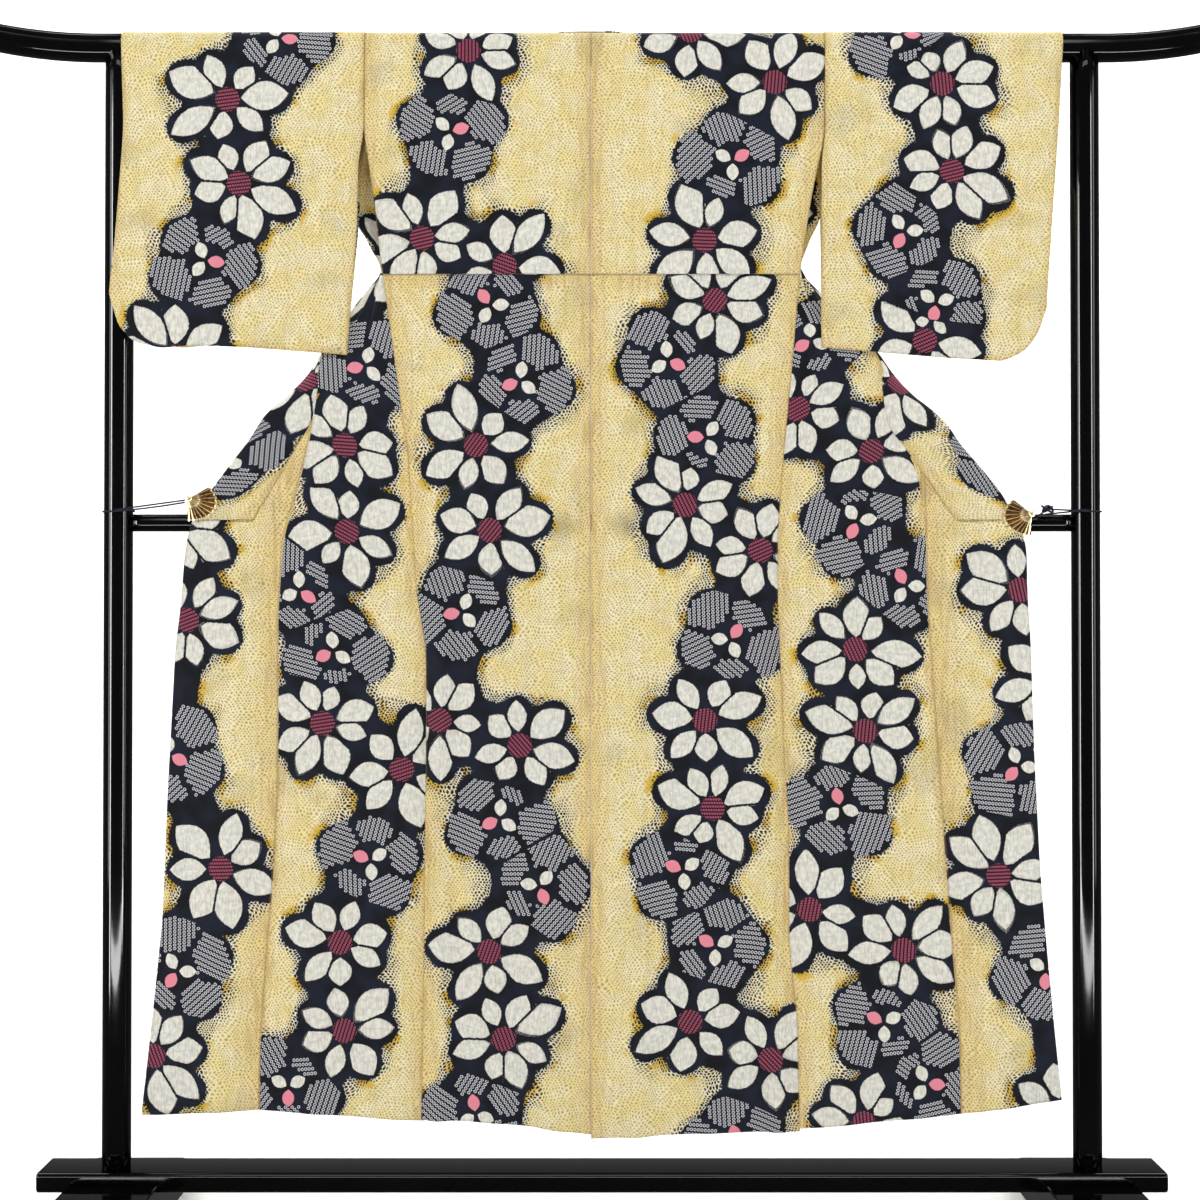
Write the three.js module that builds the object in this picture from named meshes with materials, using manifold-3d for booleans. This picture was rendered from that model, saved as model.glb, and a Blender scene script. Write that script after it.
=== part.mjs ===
// Shibori yukata hung by its shoulders over a lacquered kimono stand, its back to the viewer.
// Millimetres. +X to the viewer's right, +Y away from the viewer, +Z up. The origin lies on
// the floor under the middle of the stand.
import * as THREE from "three";
import { mergeVertices } from "three/addons/utils/BufferGeometryUtils.js";
import Module from "manifold-3d";

const wasm = await Module();
wasm.setup();

// Cloth
const CLOTH = 1.2; // wall of one layer of crinkled cotton
const BAND = 2.4; // wall of the folded collar
const SEAM_GAP = 0.3;
const TUCK_UNDER = 4; // how far a wing's seam edge lies behind the back panel's edge
const TUCK_HEIGHT = 1392; // lower edge of the waist tuck
const TUCK_STEP = 2.2; // how far the cloth above the tuck stands out
const BACK_SEAM = -16; // x of the centre back seam
const NECK_HALF = 82; // from the centre back seam to where the collar is sewn on
const COLLAR_WIDTH = 58;
const COLLAR_END_WIDTH = 88; // across its lower end, which is cut wider
const COLLAR_END_HEIGHT = 1031;
const COLLAR_ROWS = 4; // rows of the overlap panel that end at the collar's seam
const CUFF_OPEN_BOTTOM = 1519; // the cuff is open above this height

// Stand
const ROD_DIAMETER = 42;
const ROD_HEIGHT = 1730;
const ROD_HALF = 940; // half the rod's span
const ROD_STRAIGHT = 740; // half of its straight middle
const ROD_END_RISE = 26;
const POST_DIAMETER = 42;
const POST_SPACING = 1424; // between the posts' centre lines
const CROSSBAR_DIAMETER = 25.5;
const CROSSBAR_HEIGHT = 1028;
const BEAM = { length: 1648, front: -24, back: 66, bottom: 51, top: 80, corner: 6 };
const FOOT = { width: 132, length: 420, height: 62, nose: 24, slope: 90 };

// Clips and threads
const CLIP = { radius: 38, hub: 5, ribs: 9, spread: 110, pleat: 1.1, wall: 0.9, jaw: 22 };
const THREAD = 1.2;
const THREAD_PITCH = 2.2; // between one turn and the next on the post
const THREAD_CLEAR = 0.9; // from the post, so that its straight steps stay clear

const rodRadius = ROD_DIAMETER / 2;
const postRadius = POST_DIAMETER / 2;
const postX = POST_SPACING / 2;
const drapeRadius = rodRadius + 0.7; // inner face of the cloth over the rod
const ridge = ROD_HEIGHT + drapeRadius;
const wingPlane = -drapeRadius + CLOTH + SEAM_GAP + 0.4; // y of a wing's far face

// Materials
const finish = (color, roughness, metalness = 0) =>
  new THREE.MeshStandardMaterial({ color, roughness, metalness });
const cotton = () => finish(0xe8dba8, 0.92);
const navyCotton = () => finish(0x2a3046, 0.92);
const lacquer = () => finish(0x0a0a0b, 0.12);
const brass = () => finish(0xa8843a, 0.32, 1);
const thread = () => finish(0x1b1740, 0.7);

const part = new THREE.Group();
function place(name, geometry, material) {
  const mesh = new THREE.Mesh(geometry, material);
  mesh.name = name;
  part.add(mesh);
}

// Solids by vertices and triangles

// A closed body from points and quads, turned so that its faces point out. Triangles with
// two corners in one place are dropped.
function body(points, quads) {
  const positions = [];
  for (const [a, b, c, d] of quads) {
    for (const corner of [a, b, c, a, c, d]) positions.push(...points[corner].toArray());
  }
  const loose = new THREE.BufferGeometry();
  loose.setAttribute("position", new THREE.Float32BufferAttribute(positions, 3));
  const merged = mergeVertices(loose, 1e-3);
  const index = merged.index.array;
  const at = (i) => new THREE.Vector3().fromBufferAttribute(merged.attributes.position, i);
  const kept = [];
  let volume = 0;
  for (let i = 0; i < index.length; i += 3) {
    const [a, b, c] = [index[i], index[i + 1], index[i + 2]];
    if (a === b || b === c || c === a) continue;
    kept.push([a, b, c]);
    volume += at(a).dot(at(b).cross(at(c)));
  }
  merged.setIndex(kept.flatMap(([a, b, c]) => (volume > 0 ? [a, b, c] : [a, c, b])));
  return merged;
}

// A wall of cloth: rows of points for one face, the other face moved by the wall's thickness
// along the normal, and a strip round the rim. side is 1 or -1.
function wall(rows, thickness, side = 1) {
  const [m, n] = [rows.length, rows[0].length];
  const near = (i, j) => rows[THREE.MathUtils.clamp(i, 0, m - 1)][THREE.MathUtils.clamp(j, 0, n - 1)];
  const points = rows.flat();
  for (let i = 0; i < m; i++) {
    for (let j = 0; j < n; j++) {
      const down = near(i + 1, j).clone().sub(near(i - 1, j));
      const across = near(i, j + 1).clone().sub(near(i, j - 1));
      const normal = across.cross(down).normalize();
      points.push(rows[i][j].clone().addScaledVector(normal, side * thickness));
    }
  }
  const id = (i, j, face) => face * m * n + i * n + j;
  const quads = [];
  for (let i = 0; i + 1 < m; i++) {
    for (let j = 0; j + 1 < n; j++) {
      quads.push([id(i, j, 0), id(i + 1, j, 0), id(i + 1, j + 1, 0), id(i, j + 1, 0)]);
      quads.push([id(i, j, 1), id(i, j + 1, 1), id(i + 1, j + 1, 1), id(i + 1, j, 1)]);
    }
    for (const [j, turn] of [[0, false], [n - 1, true]]) {
      const rim = [id(i, j, 0), id(i, j, 1), id(i + 1, j, 1), id(i + 1, j, 0)];
      quads.push(turn ? rim.reverse() : rim);
    }
  }
  for (let j = 0; j + 1 < n; j++) {
    for (const [i, turn] of [[0, true], [m - 1, false]]) {
      const rim = [id(i, j, 0), id(i, j, 1), id(i, j + 1, 1), id(i, j + 1, 0)];
      quads.push(turn ? rim.reverse() : rim);
    }
  }
  return body(points, quads);
}

function toManifold(geometry) {
  const bare = geometry.clone();
  bare.deleteAttribute("normal");
  bare.deleteAttribute("uv");
  const merged = mergeVertices(bare, 1e-4);
  const mesh = new wasm.Mesh({
    numProp: 3,
    vertProperties: new Float32Array(merged.attributes.position.array),
    triVerts: new Uint32Array(merged.index.array),
  });
  return new wasm.Manifold(mesh);
}

function fromManifold(solid) {
  const { vertProperties, triVerts } = solid.getMesh();
  const geometry = new THREE.BufferGeometry();
  geometry.setAttribute("position", new THREE.BufferAttribute(vertProperties, 3));
  geometry.setIndex(new THREE.BufferAttribute(triVerts, 1));
  return geometry;
}

// Interpolation

// The value of a named column at height z, between the rows, which run from the highest to
// the lowest. Past either end it stays level.
function reader(rows, name) {
  const rising = [...rows].reverse();
  const heights = rising.map((row) => row.z);
  const values = rising.map((row) => row[name]);
  const curve = new THREE.LinearInterpolant(heights, values, 1);
  const [low, high] = [heights[0], heights[heights.length - 1]];
  return (z) => curve.evaluate(THREE.MathUtils.clamp(z, low, high))[0];
}

const span = (from, to, steps) =>
  Array.from({ length: steps + 1 }, (_, i) => from + ((to - from) * i) / steps);

// The place on cloth lying over the rod, at an angle from its ridge. side is -1 to the viewer.
const overRod = (x, angle, side, radius = drapeRadius) =>
  new THREE.Vector3(x, side * radius * Math.sin(angle), ROD_HEIGHT + radius * Math.cos(angle));

const RIDGE_GAP = 0.012; // angle from the ridge to the first row of each panel
const rodAngles = span(RIDGE_GAP, Math.PI / 2, 4);

// Body outlines, as worn cloth hangs. side: the panel's side edge, hem: its lower edge,
// outer: the wing's outer edge, okumi: the seam of its overlap panel.
const LEFT = {
  sign: -1,
  side: [
    { z: 1752, x: -348.9 }, { z: 1594, x: -348.9 }, { z: 1570, x: -344 }, { z: 1513, x: -336 },
    { z: 1405, x: -323 },
    { z: 1133, x: -285 }, { z: 1060, x: -280 }, { z: 929, x: -272 }, { z: 841, x: -257 },
    { z: 691, x: -257 }, { z: 170, x: -263 },
  ],
  okumi: [
    { z: 1183, x: -421 }, { z: 1104, x: -438 }, { z: 1002, x: -466 }, { z: 900, x: -473 },
    { z: 637, x: -473 }, { z: 523, x: -479 }, { z: 266, x: -498 }, { z: 171, x: -499 },
  ],
  outer: [
    { z: 1183, x: -488 }, { z: 1132, x: -528 }, { z: 1082, x: -566 }, { z: 1038, x: -598 },
    { z: 994, x: -609 }, { z: 902, x: -616 }, { z: 847, x: -623 }, { z: 635, x: -634 },
    { z: 450, x: -641 }, { z: 300, x: -656 }, { z: 165, x: -671 },
  ],
  hem: { side: 158, centre: 136, wingSide: 156, okumi: 172, outer: 164 },
};
const RIGHT = {
  sign: 1,
  side: [
    { z: 1752, x: 327 }, { z: 1594, x: 327 }, { z: 1570, x: 320 }, { z: 1500, x: 306 }, { z: 1405, x: 291 },
    { z: 1231, x: 276 }, { z: 1130, x: 266 }, { z: 1008, x: 257 }, { z: 914, x: 257 },
    { z: 691, x: 266 }, { z: 578, x: 273 }, { z: 412, x: 273 }, { z: 300, x: 285 }, { z: 140, x: 288 },
  ],
  okumi: [
    { z: 1176, x: 416 }, { z: 1152, x: 440 }, { z: 1111, x: 460 }, { z: 1032, x: 473 },
    { z: 914, x: 475 }, { z: 746, x: 486 }, { z: 523, x: 502 }, { z: 412, x: 510 },
    { z: 300, x: 520 }, { z: 165, x: 523 },
  ],
  outer: [
    { z: 1176, x: 494 }, { z: 1124, x: 539 }, { z: 1063, x: 590 }, { z: 1002, x: 620 },
    { z: 914, x: 622 }, { z: 859, x: 626 }, { z: 691, x: 631 }, { z: 523, x: 639 },
    { z: 412, x: 648 }, { z: 272, x: 661 }, { z: 185, x: 670 },
  ],
  hem: { side: 141, centre: 130, wingSide: 144, okumi: 166, outer: 186 },
};

// Vertical soft folds. at: share of the panel's width from its outer edge, wide and deep in mm,
// top and bottom: the heights between which the fold runs.
const BACK_FOLDS = [
  { at: 0.1, wide: 34, deep: 7, top: 1040, bottom: 60 },
  { at: 0.42, wide: 60, deep: 4, top: 1300, bottom: 500 },
  { at: 0.78, wide: 48, deep: 8, top: 760, bottom: 40 },
];
const WING_FOLDS = [
  { at: 0.22, wide: 60, deep: 5, top: 900, bottom: 40 },
  { at: 0.7, wide: 52, deep: 4, top: 1150, bottom: 300 },
];

// How far folds lift the cloth towards the viewer at a place on a panel.
function foldLift(folds, share, width, z) {
  return folds.reduce((lift, fold) => {
    const off = ((share - fold.at) * width) / (fold.wide / 2);
    const along = THREE.MathUtils.smoothstep(z, fold.bottom, fold.bottom + 200)
      * (1 - THREE.MathUtils.smoothstep(z, fold.top - 200, fold.top));
    return lift + fold.deep * Math.exp(-off * off) * (z < fold.bottom + 200 ? 1 : along);
  }, 0);
}

// Back panels

// The back panel's rows run from the ridge of the rod down to the hem, each row from the side
// edge to the centre back seam. Above the tuck the cloth stands out by the tuck's step.
function backPanel(shape) {
  const sideX = reader(shape.side, "x");
  const centre = BACK_SEAM + (shape.sign * SEAM_GAP) / 2;
  const columns = span(0, 1, 8);
  const rows = rodAngles.map((angle) =>
    columns.map((u) => overRod(THREE.MathUtils.lerp(sideX(ridge), centre, u), angle, -1)));
  const heights = [
    1660, 1594, 1570, 1500, 1440, TUCK_HEIGHT + 6, TUCK_HEIGHT - 2, 1300, 1200, 1100, 1000, 880, 760, 620, 480, 340, 230,
  ];
  const row = (z) => columns.map((u) => {
    const x = THREE.MathUtils.lerp(sideX(z), centre, u);
    const tuck = z > TUCK_HEIGHT ? TUCK_STEP * THREE.MathUtils.smoothstep(ROD_HEIGHT - z, 60, 300) : 0;
    const lift = foldLift(BACK_FOLDS, u, Math.abs(sideX(z) - centre), z);
    return new THREE.Vector3(x, -drapeRadius - tuck - lift, z);
  });
  heights.forEach((z) => rows.push(row(z)));
  rows.push(row(0).map((point, i) => {
    const z = THREE.MathUtils.lerp(shape.hem.side, shape.hem.centre, columns[i] ** 2);
    return point.setZ(z);
  }));
  return wall(rows, CLOTH, shape.sign);
}

// Front panels

// A front panel hangs from the far side of the rod, is gathered and turned over at the foot of
// the armhole, and opens below it into a wing that shows its right side to the viewer. Each row
// gives one level: its side edge, then the edge where collar or overlap panel is sewn on.
// The x values are for the left and the right.
const TURN = [
  { sideX: [-348.7, 326.8], sideY: 22.5, sideZ: 1660, seamX: [-147, 118], seamY: 24, seamZ: 1650 },
  { sideX: [-353, 328], sideY: 24, sideZ: 1596, seamX: [-207, 178], seamY: 28, seamZ: 1575 },
  { sideX: [-368, 326], sideY: 16.5, sideZ: 1495, seamX: [-268, 238], seamY: 32, seamZ: 1490 },
  { sideX: [-345, 305], sideY: -4, sideZ: 1443, seamX: [-303, 272], seamY: 32, seamZ: 1445 },
  { sideX: [-322, 288], sideY: wingPlane, sideZ: 1398, seamX: [-324, 293], seamY: 20, seamZ: 1402 },
  { sideX: [-313, 281], sideY: wingPlane, sideZ: 1350, seamX: [-362, 338], seamY: 2, seamZ: 1348 },
  { sideX: [-304, 274], sideY: wingPlane, sideZ: 1290, seamX: [-410, 404], seamY: -12, seamZ: 1274 },
];
const GATHER = { row: 4.2, reach: 1.9, folds: 3, deep: 9 };

// The turned part of a panel, level by level: k counts the rows of TURN and need not be whole.
function turnEdges(shape) {
  const hand = shape.sign < 0 ? 0 : 1;
  const through = (edge) => new THREE.CatmullRomCurve3(TURN.map((row) =>
    new THREE.Vector3(row[`${edge}X`][hand], row[`${edge}Y`], row[`${edge}Z`])));
  const [side, seam] = [through("side"), through("seam")];
  const last = TURN.length - 1;
  return { side: (k) => side.getPoint(k / last), seam: (k) => seam.getPoint(k / last), last };
}

// The gathers lie in a wave across each row, deepest at the turn, and always on the side
// towards the middle of the garment.
function gatherShift(shape, k, u) {
  const near = Math.exp(-(((k - GATHER.row) / GATHER.reach) ** 2));
  const wave = Math.sin(Math.PI * GATHER.folds * u) ** 2;
  return -shape.sign * GATHER.deep * near * wave;
}

// Shares of the way down the seam between front and overlap panel at which both have a row
const WING_LEVELS = [0, 0.06, 0.14, 0.24, 0.36, 0.48, 0.6, 0.72, 0.84, 0.93, 1];

function frontPanel(shape) {
  const columns = span(0, 1, 12);
  const neck = BACK_SEAM + shape.sign * NECK_HALF;
  const shoulder = shape.side[0].x;
  const rows = rodAngles.map((angle) =>
    columns.map((u) => overRod(THREE.MathUtils.lerp(shoulder, neck, u), angle, 1)));
  const { side, seam, last } = turnEdges(shape);
  for (const k of span(0, last, 2 * last)) {
    rows.push(columns.map((u) => {
      const point = side(k).lerp(seam(k), u);
      return point.setX(point.x + gatherShift(shape, k, u));
    }));
  }
  const sideX = reader(shape.side, "x");
  const okumiX = reader(shape.okumi, "x");
  const kensaki = shape.okumi[0].z;
  for (const level of WING_LEVELS) {
    rows.push(columns.map((u) => {
      const top = THREE.MathUtils.lerp(kensaki + 20, kensaki, u);
      const foot = THREE.MathUtils.lerp(shape.hem.wingSide, shape.hem.okumi, u);
      const z = THREE.MathUtils.lerp(top, foot, level);
      const inner = sideX(z) - shape.sign * TUCK_UNDER;
      const outer = okumiX(z) - (shape.sign * SEAM_GAP) / 2;
      const x = THREE.MathUtils.lerp(inner, outer, u);
      const lift = foldLift(WING_FOLDS, u, Math.abs(outer - inner), z);
      const clear = THREE.MathUtils.smoothstep(u, 0, 0.12);
      return new THREE.Vector3(x, wingPlane - lift * clear, z);
    }));
  }
  return wall(rows, CLOTH, -shape.sign);
}

// Overlap panels

// The collar's lower end on the free edge, where the clip holds it, and the inner corner there.
function collarEnd(shape) {
  const z = COLLAR_END_HEIGHT;
  const x = reader(shape.outer, "x")(z);
  return { free: new THREE.Vector2(x, z), seam: new THREE.Vector2(x - shape.sign * COLLAR_END_WIDTH, z) };
}

// The overlap panel fills a wing from its seam out to the free edge. Its first rows end at the
// collar's seam, which they meet in a point, and the rest at the free edge below the collar.
function overlapPanel(shape) {
  const okumiX = reader(shape.okumi, "x");
  const outerX = reader(shape.outer, "x");
  const columns = span(0, 1, 4);
  const kensaki = shape.okumi[0];
  const tip = new THREE.Vector2(kensaki.x + shape.sign * 4, kensaki.z - 5);
  const end = collarEnd(shape);
  const rest = WING_LEVELS.slice(COLLAR_ROWS);
  const rows = WING_LEVELS.map((share, i) => {
    const seamZ = THREE.MathUtils.lerp(kensaki.z, shape.hem.okumi, share);
    const inner = new THREE.Vector2(okumiX(seamZ) + (shape.sign * SEAM_GAP) / 2, seamZ);
    let free = tip.clone().lerp(end.seam, i / (COLLAR_ROWS - 1));
    if (i >= COLLAR_ROWS) {
      const down = (share - rest[0]) / (1 - rest[0]);
      const z = THREE.MathUtils.lerp(end.free.y, shape.hem.outer, down);
      free = new THREE.Vector2(outerX(z), z);
    }
    return columns.map((u) => {
      const at = inner.clone().lerp(free, u);
      return new THREE.Vector3(at.x, wingPlane, at.y);
    });
  });
  return wall(rows, CLOTH, -shape.sign);
}

// Collar

// The collar is one folded band from wing to wing, round the back of the neck. seam: the edge
// that is sewn on, free: the edge that is folded. Between neck and wing it turns over once.
const COLLAR = [
  { seamX: [-135, 106], seamY: 25.2, seamZ: 1658, freeX: [-84, 55], freeY: 27, freeZ: 1646 },
  { seamX: [-203, 174], seamY: 29, seamZ: 1573, freeX: [-160, 131], freeY: 33, freeZ: 1548 },
  { seamX: [-266, 236], seamY: 33.5, seamZ: 1486, freeX: [-236, 206], freeY: 55, freeZ: 1468 },
  { seamX: [-303, 272], seamY: 34, seamZ: 1440, freeX: [-290, 258], freeY: 78, freeZ: 1428 },
  { seamX: [-327, 296], seamY: 22, seamZ: 1398, freeX: [-322, 291], freeY: 74, freeZ: 1392 },
  { seamX: [-365, 341], seamY: 4, seamZ: 1344, freeX: [-368, 345], freeY: 56, freeZ: 1342 },
  { seamX: [-411.5, 405], seamY: -10.5, seamZ: 1272, freeX: [-420, 416], freeY: 34, freeZ: 1262 },
  { seamX: [-416.5, 410.5], seamY: -16.5, seamZ: 1226, freeX: [-462, 458], freeY: -6, freeZ: 1213 },
];

function collar() {
  const columns = span(0, 1, 3);
  const arm = (shape) => {
    const hand = shape.sign < 0 ? 0 : 1;
    const end = collarEnd(shape);
    const rows = COLLAR.map((row) => [
      new THREE.Vector3(row.seamX[hand], row.seamY, row.seamZ),
      new THREE.Vector3(row.freeX[hand], row.freeY, row.freeZ),
    ]);
    const kensaki = shape.okumi[0];
    const start = new THREE.Vector2(kensaki.x + shape.sign * 4, kensaki.z - 5);
    const outerX = reader(shape.outer, "x");
    for (const share of span(0, 1, 4)) {
      const sewn = start.clone().lerp(end.seam, share);
      const z = THREE.MathUtils.lerp(kensaki.z, end.free.y, share) + SEAM_GAP;
      rows.push([
        new THREE.Vector3(sewn.x, wingPlane, sewn.y + 2 * SEAM_GAP),
        new THREE.Vector3(outerX(z), wingPlane, z),
      ]);
    }
    return rows.map(([sewn, folded]) => columns.map((u) => sewn.clone().lerp(folded, u)));
  };
  const left = arm(LEFT).reverse();
  const right = arm(RIGHT);
  const neck = span(-1, 1, 12).map((t) => columns.map((u) => {
    const turn = Math.sin((Math.PI / 2) * t);
    const half = THREE.MathUtils.lerp(NECK_HALF - 2, NECK_HALF - COLLAR_WIDTH, u);
    const drop = THREE.MathUtils.lerp(3 + 62 * Math.abs(t) ** 3, COLLAR_WIDTH + 24 * t ** 2, u);
    return onFarSide(BACK_SEAM + half * turn, drop);
  }));
  return wall([...left, ...neck, ...right], BAND, -1);
}

// The place on the far side of the rod at a length of cloth below the ridge.
function onFarSide(x, drop) {
  const radius = drapeRadius + CLOTH + SEAM_GAP + 1.5;
  const quarter = (radius * Math.PI) / 2;
  if (drop < quarter) return overRod(x, drop / radius, 1, radius);
  return new THREE.Vector3(x, radius, ROD_HEIGHT - (drop - quarter));
}

// Sleeves

// A sleeve is one cloth over the rod, closed along its bottom and the lower part of the cuff.
// cuff and body: its edges at each height, bottom: the height of its lower edge at each x.
const LEFT_SLEEVE = {
  sign: -1,
  cuff: [
    { z: 1752, x: -706 }, { z: 1608, x: -701 }, { z: 1527, x: -707 }, { z: 1425, x: -715 },
    { z: 1370, x: -722 }, { z: 1262, x: -722 },
  ],
  body: [
    { z: 1752, x: -349.2 }, { z: 1592, x: -349.2 }, { z: 1568, x: -357 }, { z: 1460, x: -359 },
    { z: 1272, x: -374 },
  ],
  bottom: [
    { x: -722, z: 1370 }, { x: -712, z: 1323 }, { x: -700, z: 1304 }, { x: -682, z: 1290 }, { x: -645, z: 1282 },
    { x: -601, z: 1286 }, { x: -520, z: 1283 }, { x: -374, z: 1272 }, { x: -340, z: 1270 },
  ],
  farCuff: -684, // the far layer and the bag stop short of the post
};
const RIGHT_SLEEVE = {
  sign: 1,
  cuff: [
    { z: 1752, x: 677 }, { z: 1608, x: 669 }, { z: 1498, x: 661 }, { z: 1352, x: 651 }, { z: 1262, x: 650 },
  ],
  body: [{ z: 1752, x: 327.3 }, { z: 1592, x: 327.3 }, { z: 1568, x: 322 }, { z: 1272, x: 321 }],
  bottom: [
    { x: 651, z: 1352 }, { x: 646, z: 1322 }, { x: 634, z: 1296 }, { x: 618, z: 1277 }, { x: 588, z: 1263 },
    { x: 500, z: 1268 }, { x: 321, z: 1283 }, { x: 290, z: 1285 },
  ],
  farCuff: null,
};
// y of the far layer below the rod, as a share of the way from the rod to the sleeve's bottom
const BAG_DEPTH = [
  { z: 1, y: 1 }, { z: 0.62, y: 0.86 }, { z: 0.4, y: 0.42 }, { z: 0.2, y: 0.13 }, { z: 0, y: 0 },
];

function bottomOf(sleeve, x) {
  const rows = sleeve.bottom.map((row) => ({ z: Math.abs(row.x), value: row.z }));
  return reader(rows, "value")(Math.abs(x));
}

// The bag as a full solid. inset moves its faces in, and it reaches past the cuff's edge and
// the body's edge by extraCuff and extraBody.
function bag(sleeve, inset, cuffX, extraCuff, extraBody) {
  const bodyX = reader(sleeve.body, "x");
  const depth = reader(BAG_DEPTH, "y");
  const radius = drapeRadius + CLOTH - inset;
  const nearY = -radius;
  const farFoot = nearY + 2 * CLOTH + 0.6 - 2 * inset;
  const shares = [0, 0.03, 0.07, 0.12, 0.22, 0.36, 0.52, 0.7, 0.86, 1];
  const angles = span(0, Math.PI / 2, 5);
  const drops = [0.12, 0.3, 0.45, 0.58, 0.7, 0.8, 0.9, 1];
  const point = (share, z, y) => {
    let x = THREE.MathUtils.lerp(cuffX(z), bodyX(z), share);
    if (share === 0) x += sleeve.sign * extraCuff;
    if (share === 1) x -= sleeve.sign * extraBody;
    return new THREE.Vector3(x, y, z);
  };
  const levels = angles.length + drops.length;
  const points = [];
  for (const side of [-1, 1]) {
    for (const share of shares) {
      const foot = bottomOf(sleeve, THREE.MathUtils.lerp(cuffX(1300), bodyX(1300), share)) + inset;
      for (const angle of angles) {
        points.push(point(share, ROD_HEIGHT + radius * Math.cos(angle), side * radius * Math.sin(angle)));
      }
      for (const drop of drops) {
        const z = THREE.MathUtils.lerp(ROD_HEIGHT, foot, drop);
        const far = THREE.MathUtils.lerp(farFoot, radius, depth(1 - drop));
        points.push(point(share, z, side < 0 ? nearY : far));
      }
    }
  }
  const id = (i, j, face) => (face * shares.length + i) * levels + j;
  const quads = [];
  for (let i = 0; i + 1 < shares.length; i++) {
    for (let j = 0; j + 1 < levels; j++) {
      quads.push([id(i, j, 0), id(i + 1, j, 0), id(i + 1, j + 1, 0), id(i, j + 1, 0)]);
      quads.push([id(i, j, 1), id(i, j + 1, 1), id(i + 1, j + 1, 1), id(i + 1, j, 1)]);
    }
    const j = levels - 1;
    quads.push([id(i, j, 0), id(i + 1, j, 0), id(i + 1, j, 1), id(i, j, 1)]);
  }
  for (let j = 0; j + 1 < levels; j++) {
    const last = shares.length - 1;
    quads.push([id(0, j, 0), id(0, j + 1, 0), id(0, j + 1, 1), id(0, j, 1)]);
    quads.push([id(last, j, 0), id(last, j, 1), id(last, j + 1, 1), id(last, j + 1, 0)]);
  }
  return toManifold(body(points, quads));
}

function boxSolid(low, high) {
  const geometry = new THREE.BoxGeometry(high[0] - low[0], high[1] - low[1], high[2] - low[2]);
  geometry.translate((high[0] + low[0]) / 2, (high[1] + low[1]) / 2, (high[2] + low[2]) / 2);
  return toManifold(geometry);
}

function sleeve(shape) {
  const cuff = reader(shape.cuff, "x");
  const cuffX = shape.farCuff === null ? cuff : () => shape.farCuff;
  const hollow = bag(shape, CLOTH, cuffX, -CLOTH, 8);
  const open = bag(shape, CLOTH, cuffX, 8, 8);
  const above = boxSolid([-1000, -100, CUFF_OPEN_BOTTOM], [1000, 100, ridge + 100]);
  let solid = bag(shape, 0, cuffX, 0, 0).subtract(hollow).subtract(open.intersect(above));
  if (shape.farCuff !== null) solid = solid.add(toManifold(cuffFlap(shape, cuff)));
  return fromManifold(solid);
}

// The near layer's outer strip, which lies over the rod and hangs in front of the post.
function cuffFlap(shape, cuff) {
  const columns = span(0, 1, 4);
  const inner = shape.farCuff + 2;
  const rows = span(-0.5, Math.PI / 2, 5).map((angle) => columns.map((u) =>
    overRod(THREE.MathUtils.lerp(inner, cuff(ridge), u), angle, -1)));
  for (const drop of span(0.12, 1, 8)) {
    rows.push(columns.map((u) => {
      const foot = bottomOf(shape, THREE.MathUtils.lerp(inner, cuff(1300), u));
      const z = THREE.MathUtils.lerp(ROD_HEIGHT, foot, drop);
      return new THREE.Vector3(THREE.MathUtils.lerp(inner, cuff(z), u), -drapeRadius, z);
    }));
  }
  return wall(rows, CLOTH, 1);
}

// Stand

function rodLine() {
  const rise = (x) => {
    const past = Math.max(0, Math.abs(x) - ROD_STRAIGHT) / (ROD_HALF - ROD_STRAIGHT);
    return ROD_END_RISE * past * past;
  };
  return new THREE.CatmullRomCurve3(span(-ROD_HALF, ROD_HALF, 34).map((x) =>
    new THREE.Vector3(x, 0, ROD_HEIGHT + rise(x))));
}

function tube(line, radius, sides, steps) {
  const section = new THREE.Shape();
  section.absarc(0, 0, radius, 0, 2 * Math.PI, false);
  return new THREE.ExtrudeGeometry(section, {
    steps, curveSegments: sides / 2, bevelEnabled: false, extrudePath: line,
  });
}

function upright(x, radius, bottom, top, sides = 28) {
  const geometry = new THREE.CylinderGeometry(radius, radius, top - bottom, sides);
  return geometry.rotateX(Math.PI / 2).translate(x, 0, (top + bottom) / 2);
}

function level(radius, from, to, z, sides = 28) {
  const geometry = new THREE.CylinderGeometry(radius, radius, to - from, sides);
  return geometry.rotateZ(Math.PI / 2).translate((from + to) / 2, 0, z);
}

// A post stands on the beam, and its top is hollowed to take the rod.
function post(x) {
  const shaft = toManifold(upright(x, postRadius, BEAM.top + SEAM_GAP, ROD_HEIGHT));
  const seat = toManifold(level(rodRadius + SEAM_GAP + 0.2, x - 60, x + 60, ROD_HEIGHT));
  return fromManifold(shaft.subtract(seat));
}

// The crossbar's ends are hollowed to meet the round posts.
function crossbar() {
  const bar = toManifold(level(CROSSBAR_DIAMETER / 2, -postX, postX, CROSSBAR_HEIGHT, 20));
  const shoulders = [-postX, postX].map((x) =>
    toManifold(upright(x, postRadius + SEAM_GAP + 0.2, CROSSBAR_HEIGHT - 60, CROSSBAR_HEIGHT + 60)));
  return fromManifold(bar.subtract(shoulders[0]).subtract(shoulders[1]));
}

// A section in Y and Z, drawn round its corners, and run along X.
function runAlongX(outline, from, to) {
  const geometry = new THREE.ExtrudeGeometry(outline, {
    depth: to - from, bevelEnabled: false, curveSegments: 4,
  });
  const turn = new THREE.Matrix4().makeBasis(
    new THREE.Vector3(0, 1, 0), new THREE.Vector3(0, 0, 1), new THREE.Vector3(1, 0, 0));
  return geometry.applyMatrix4(turn).translate(from, 0, 0);
}

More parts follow.
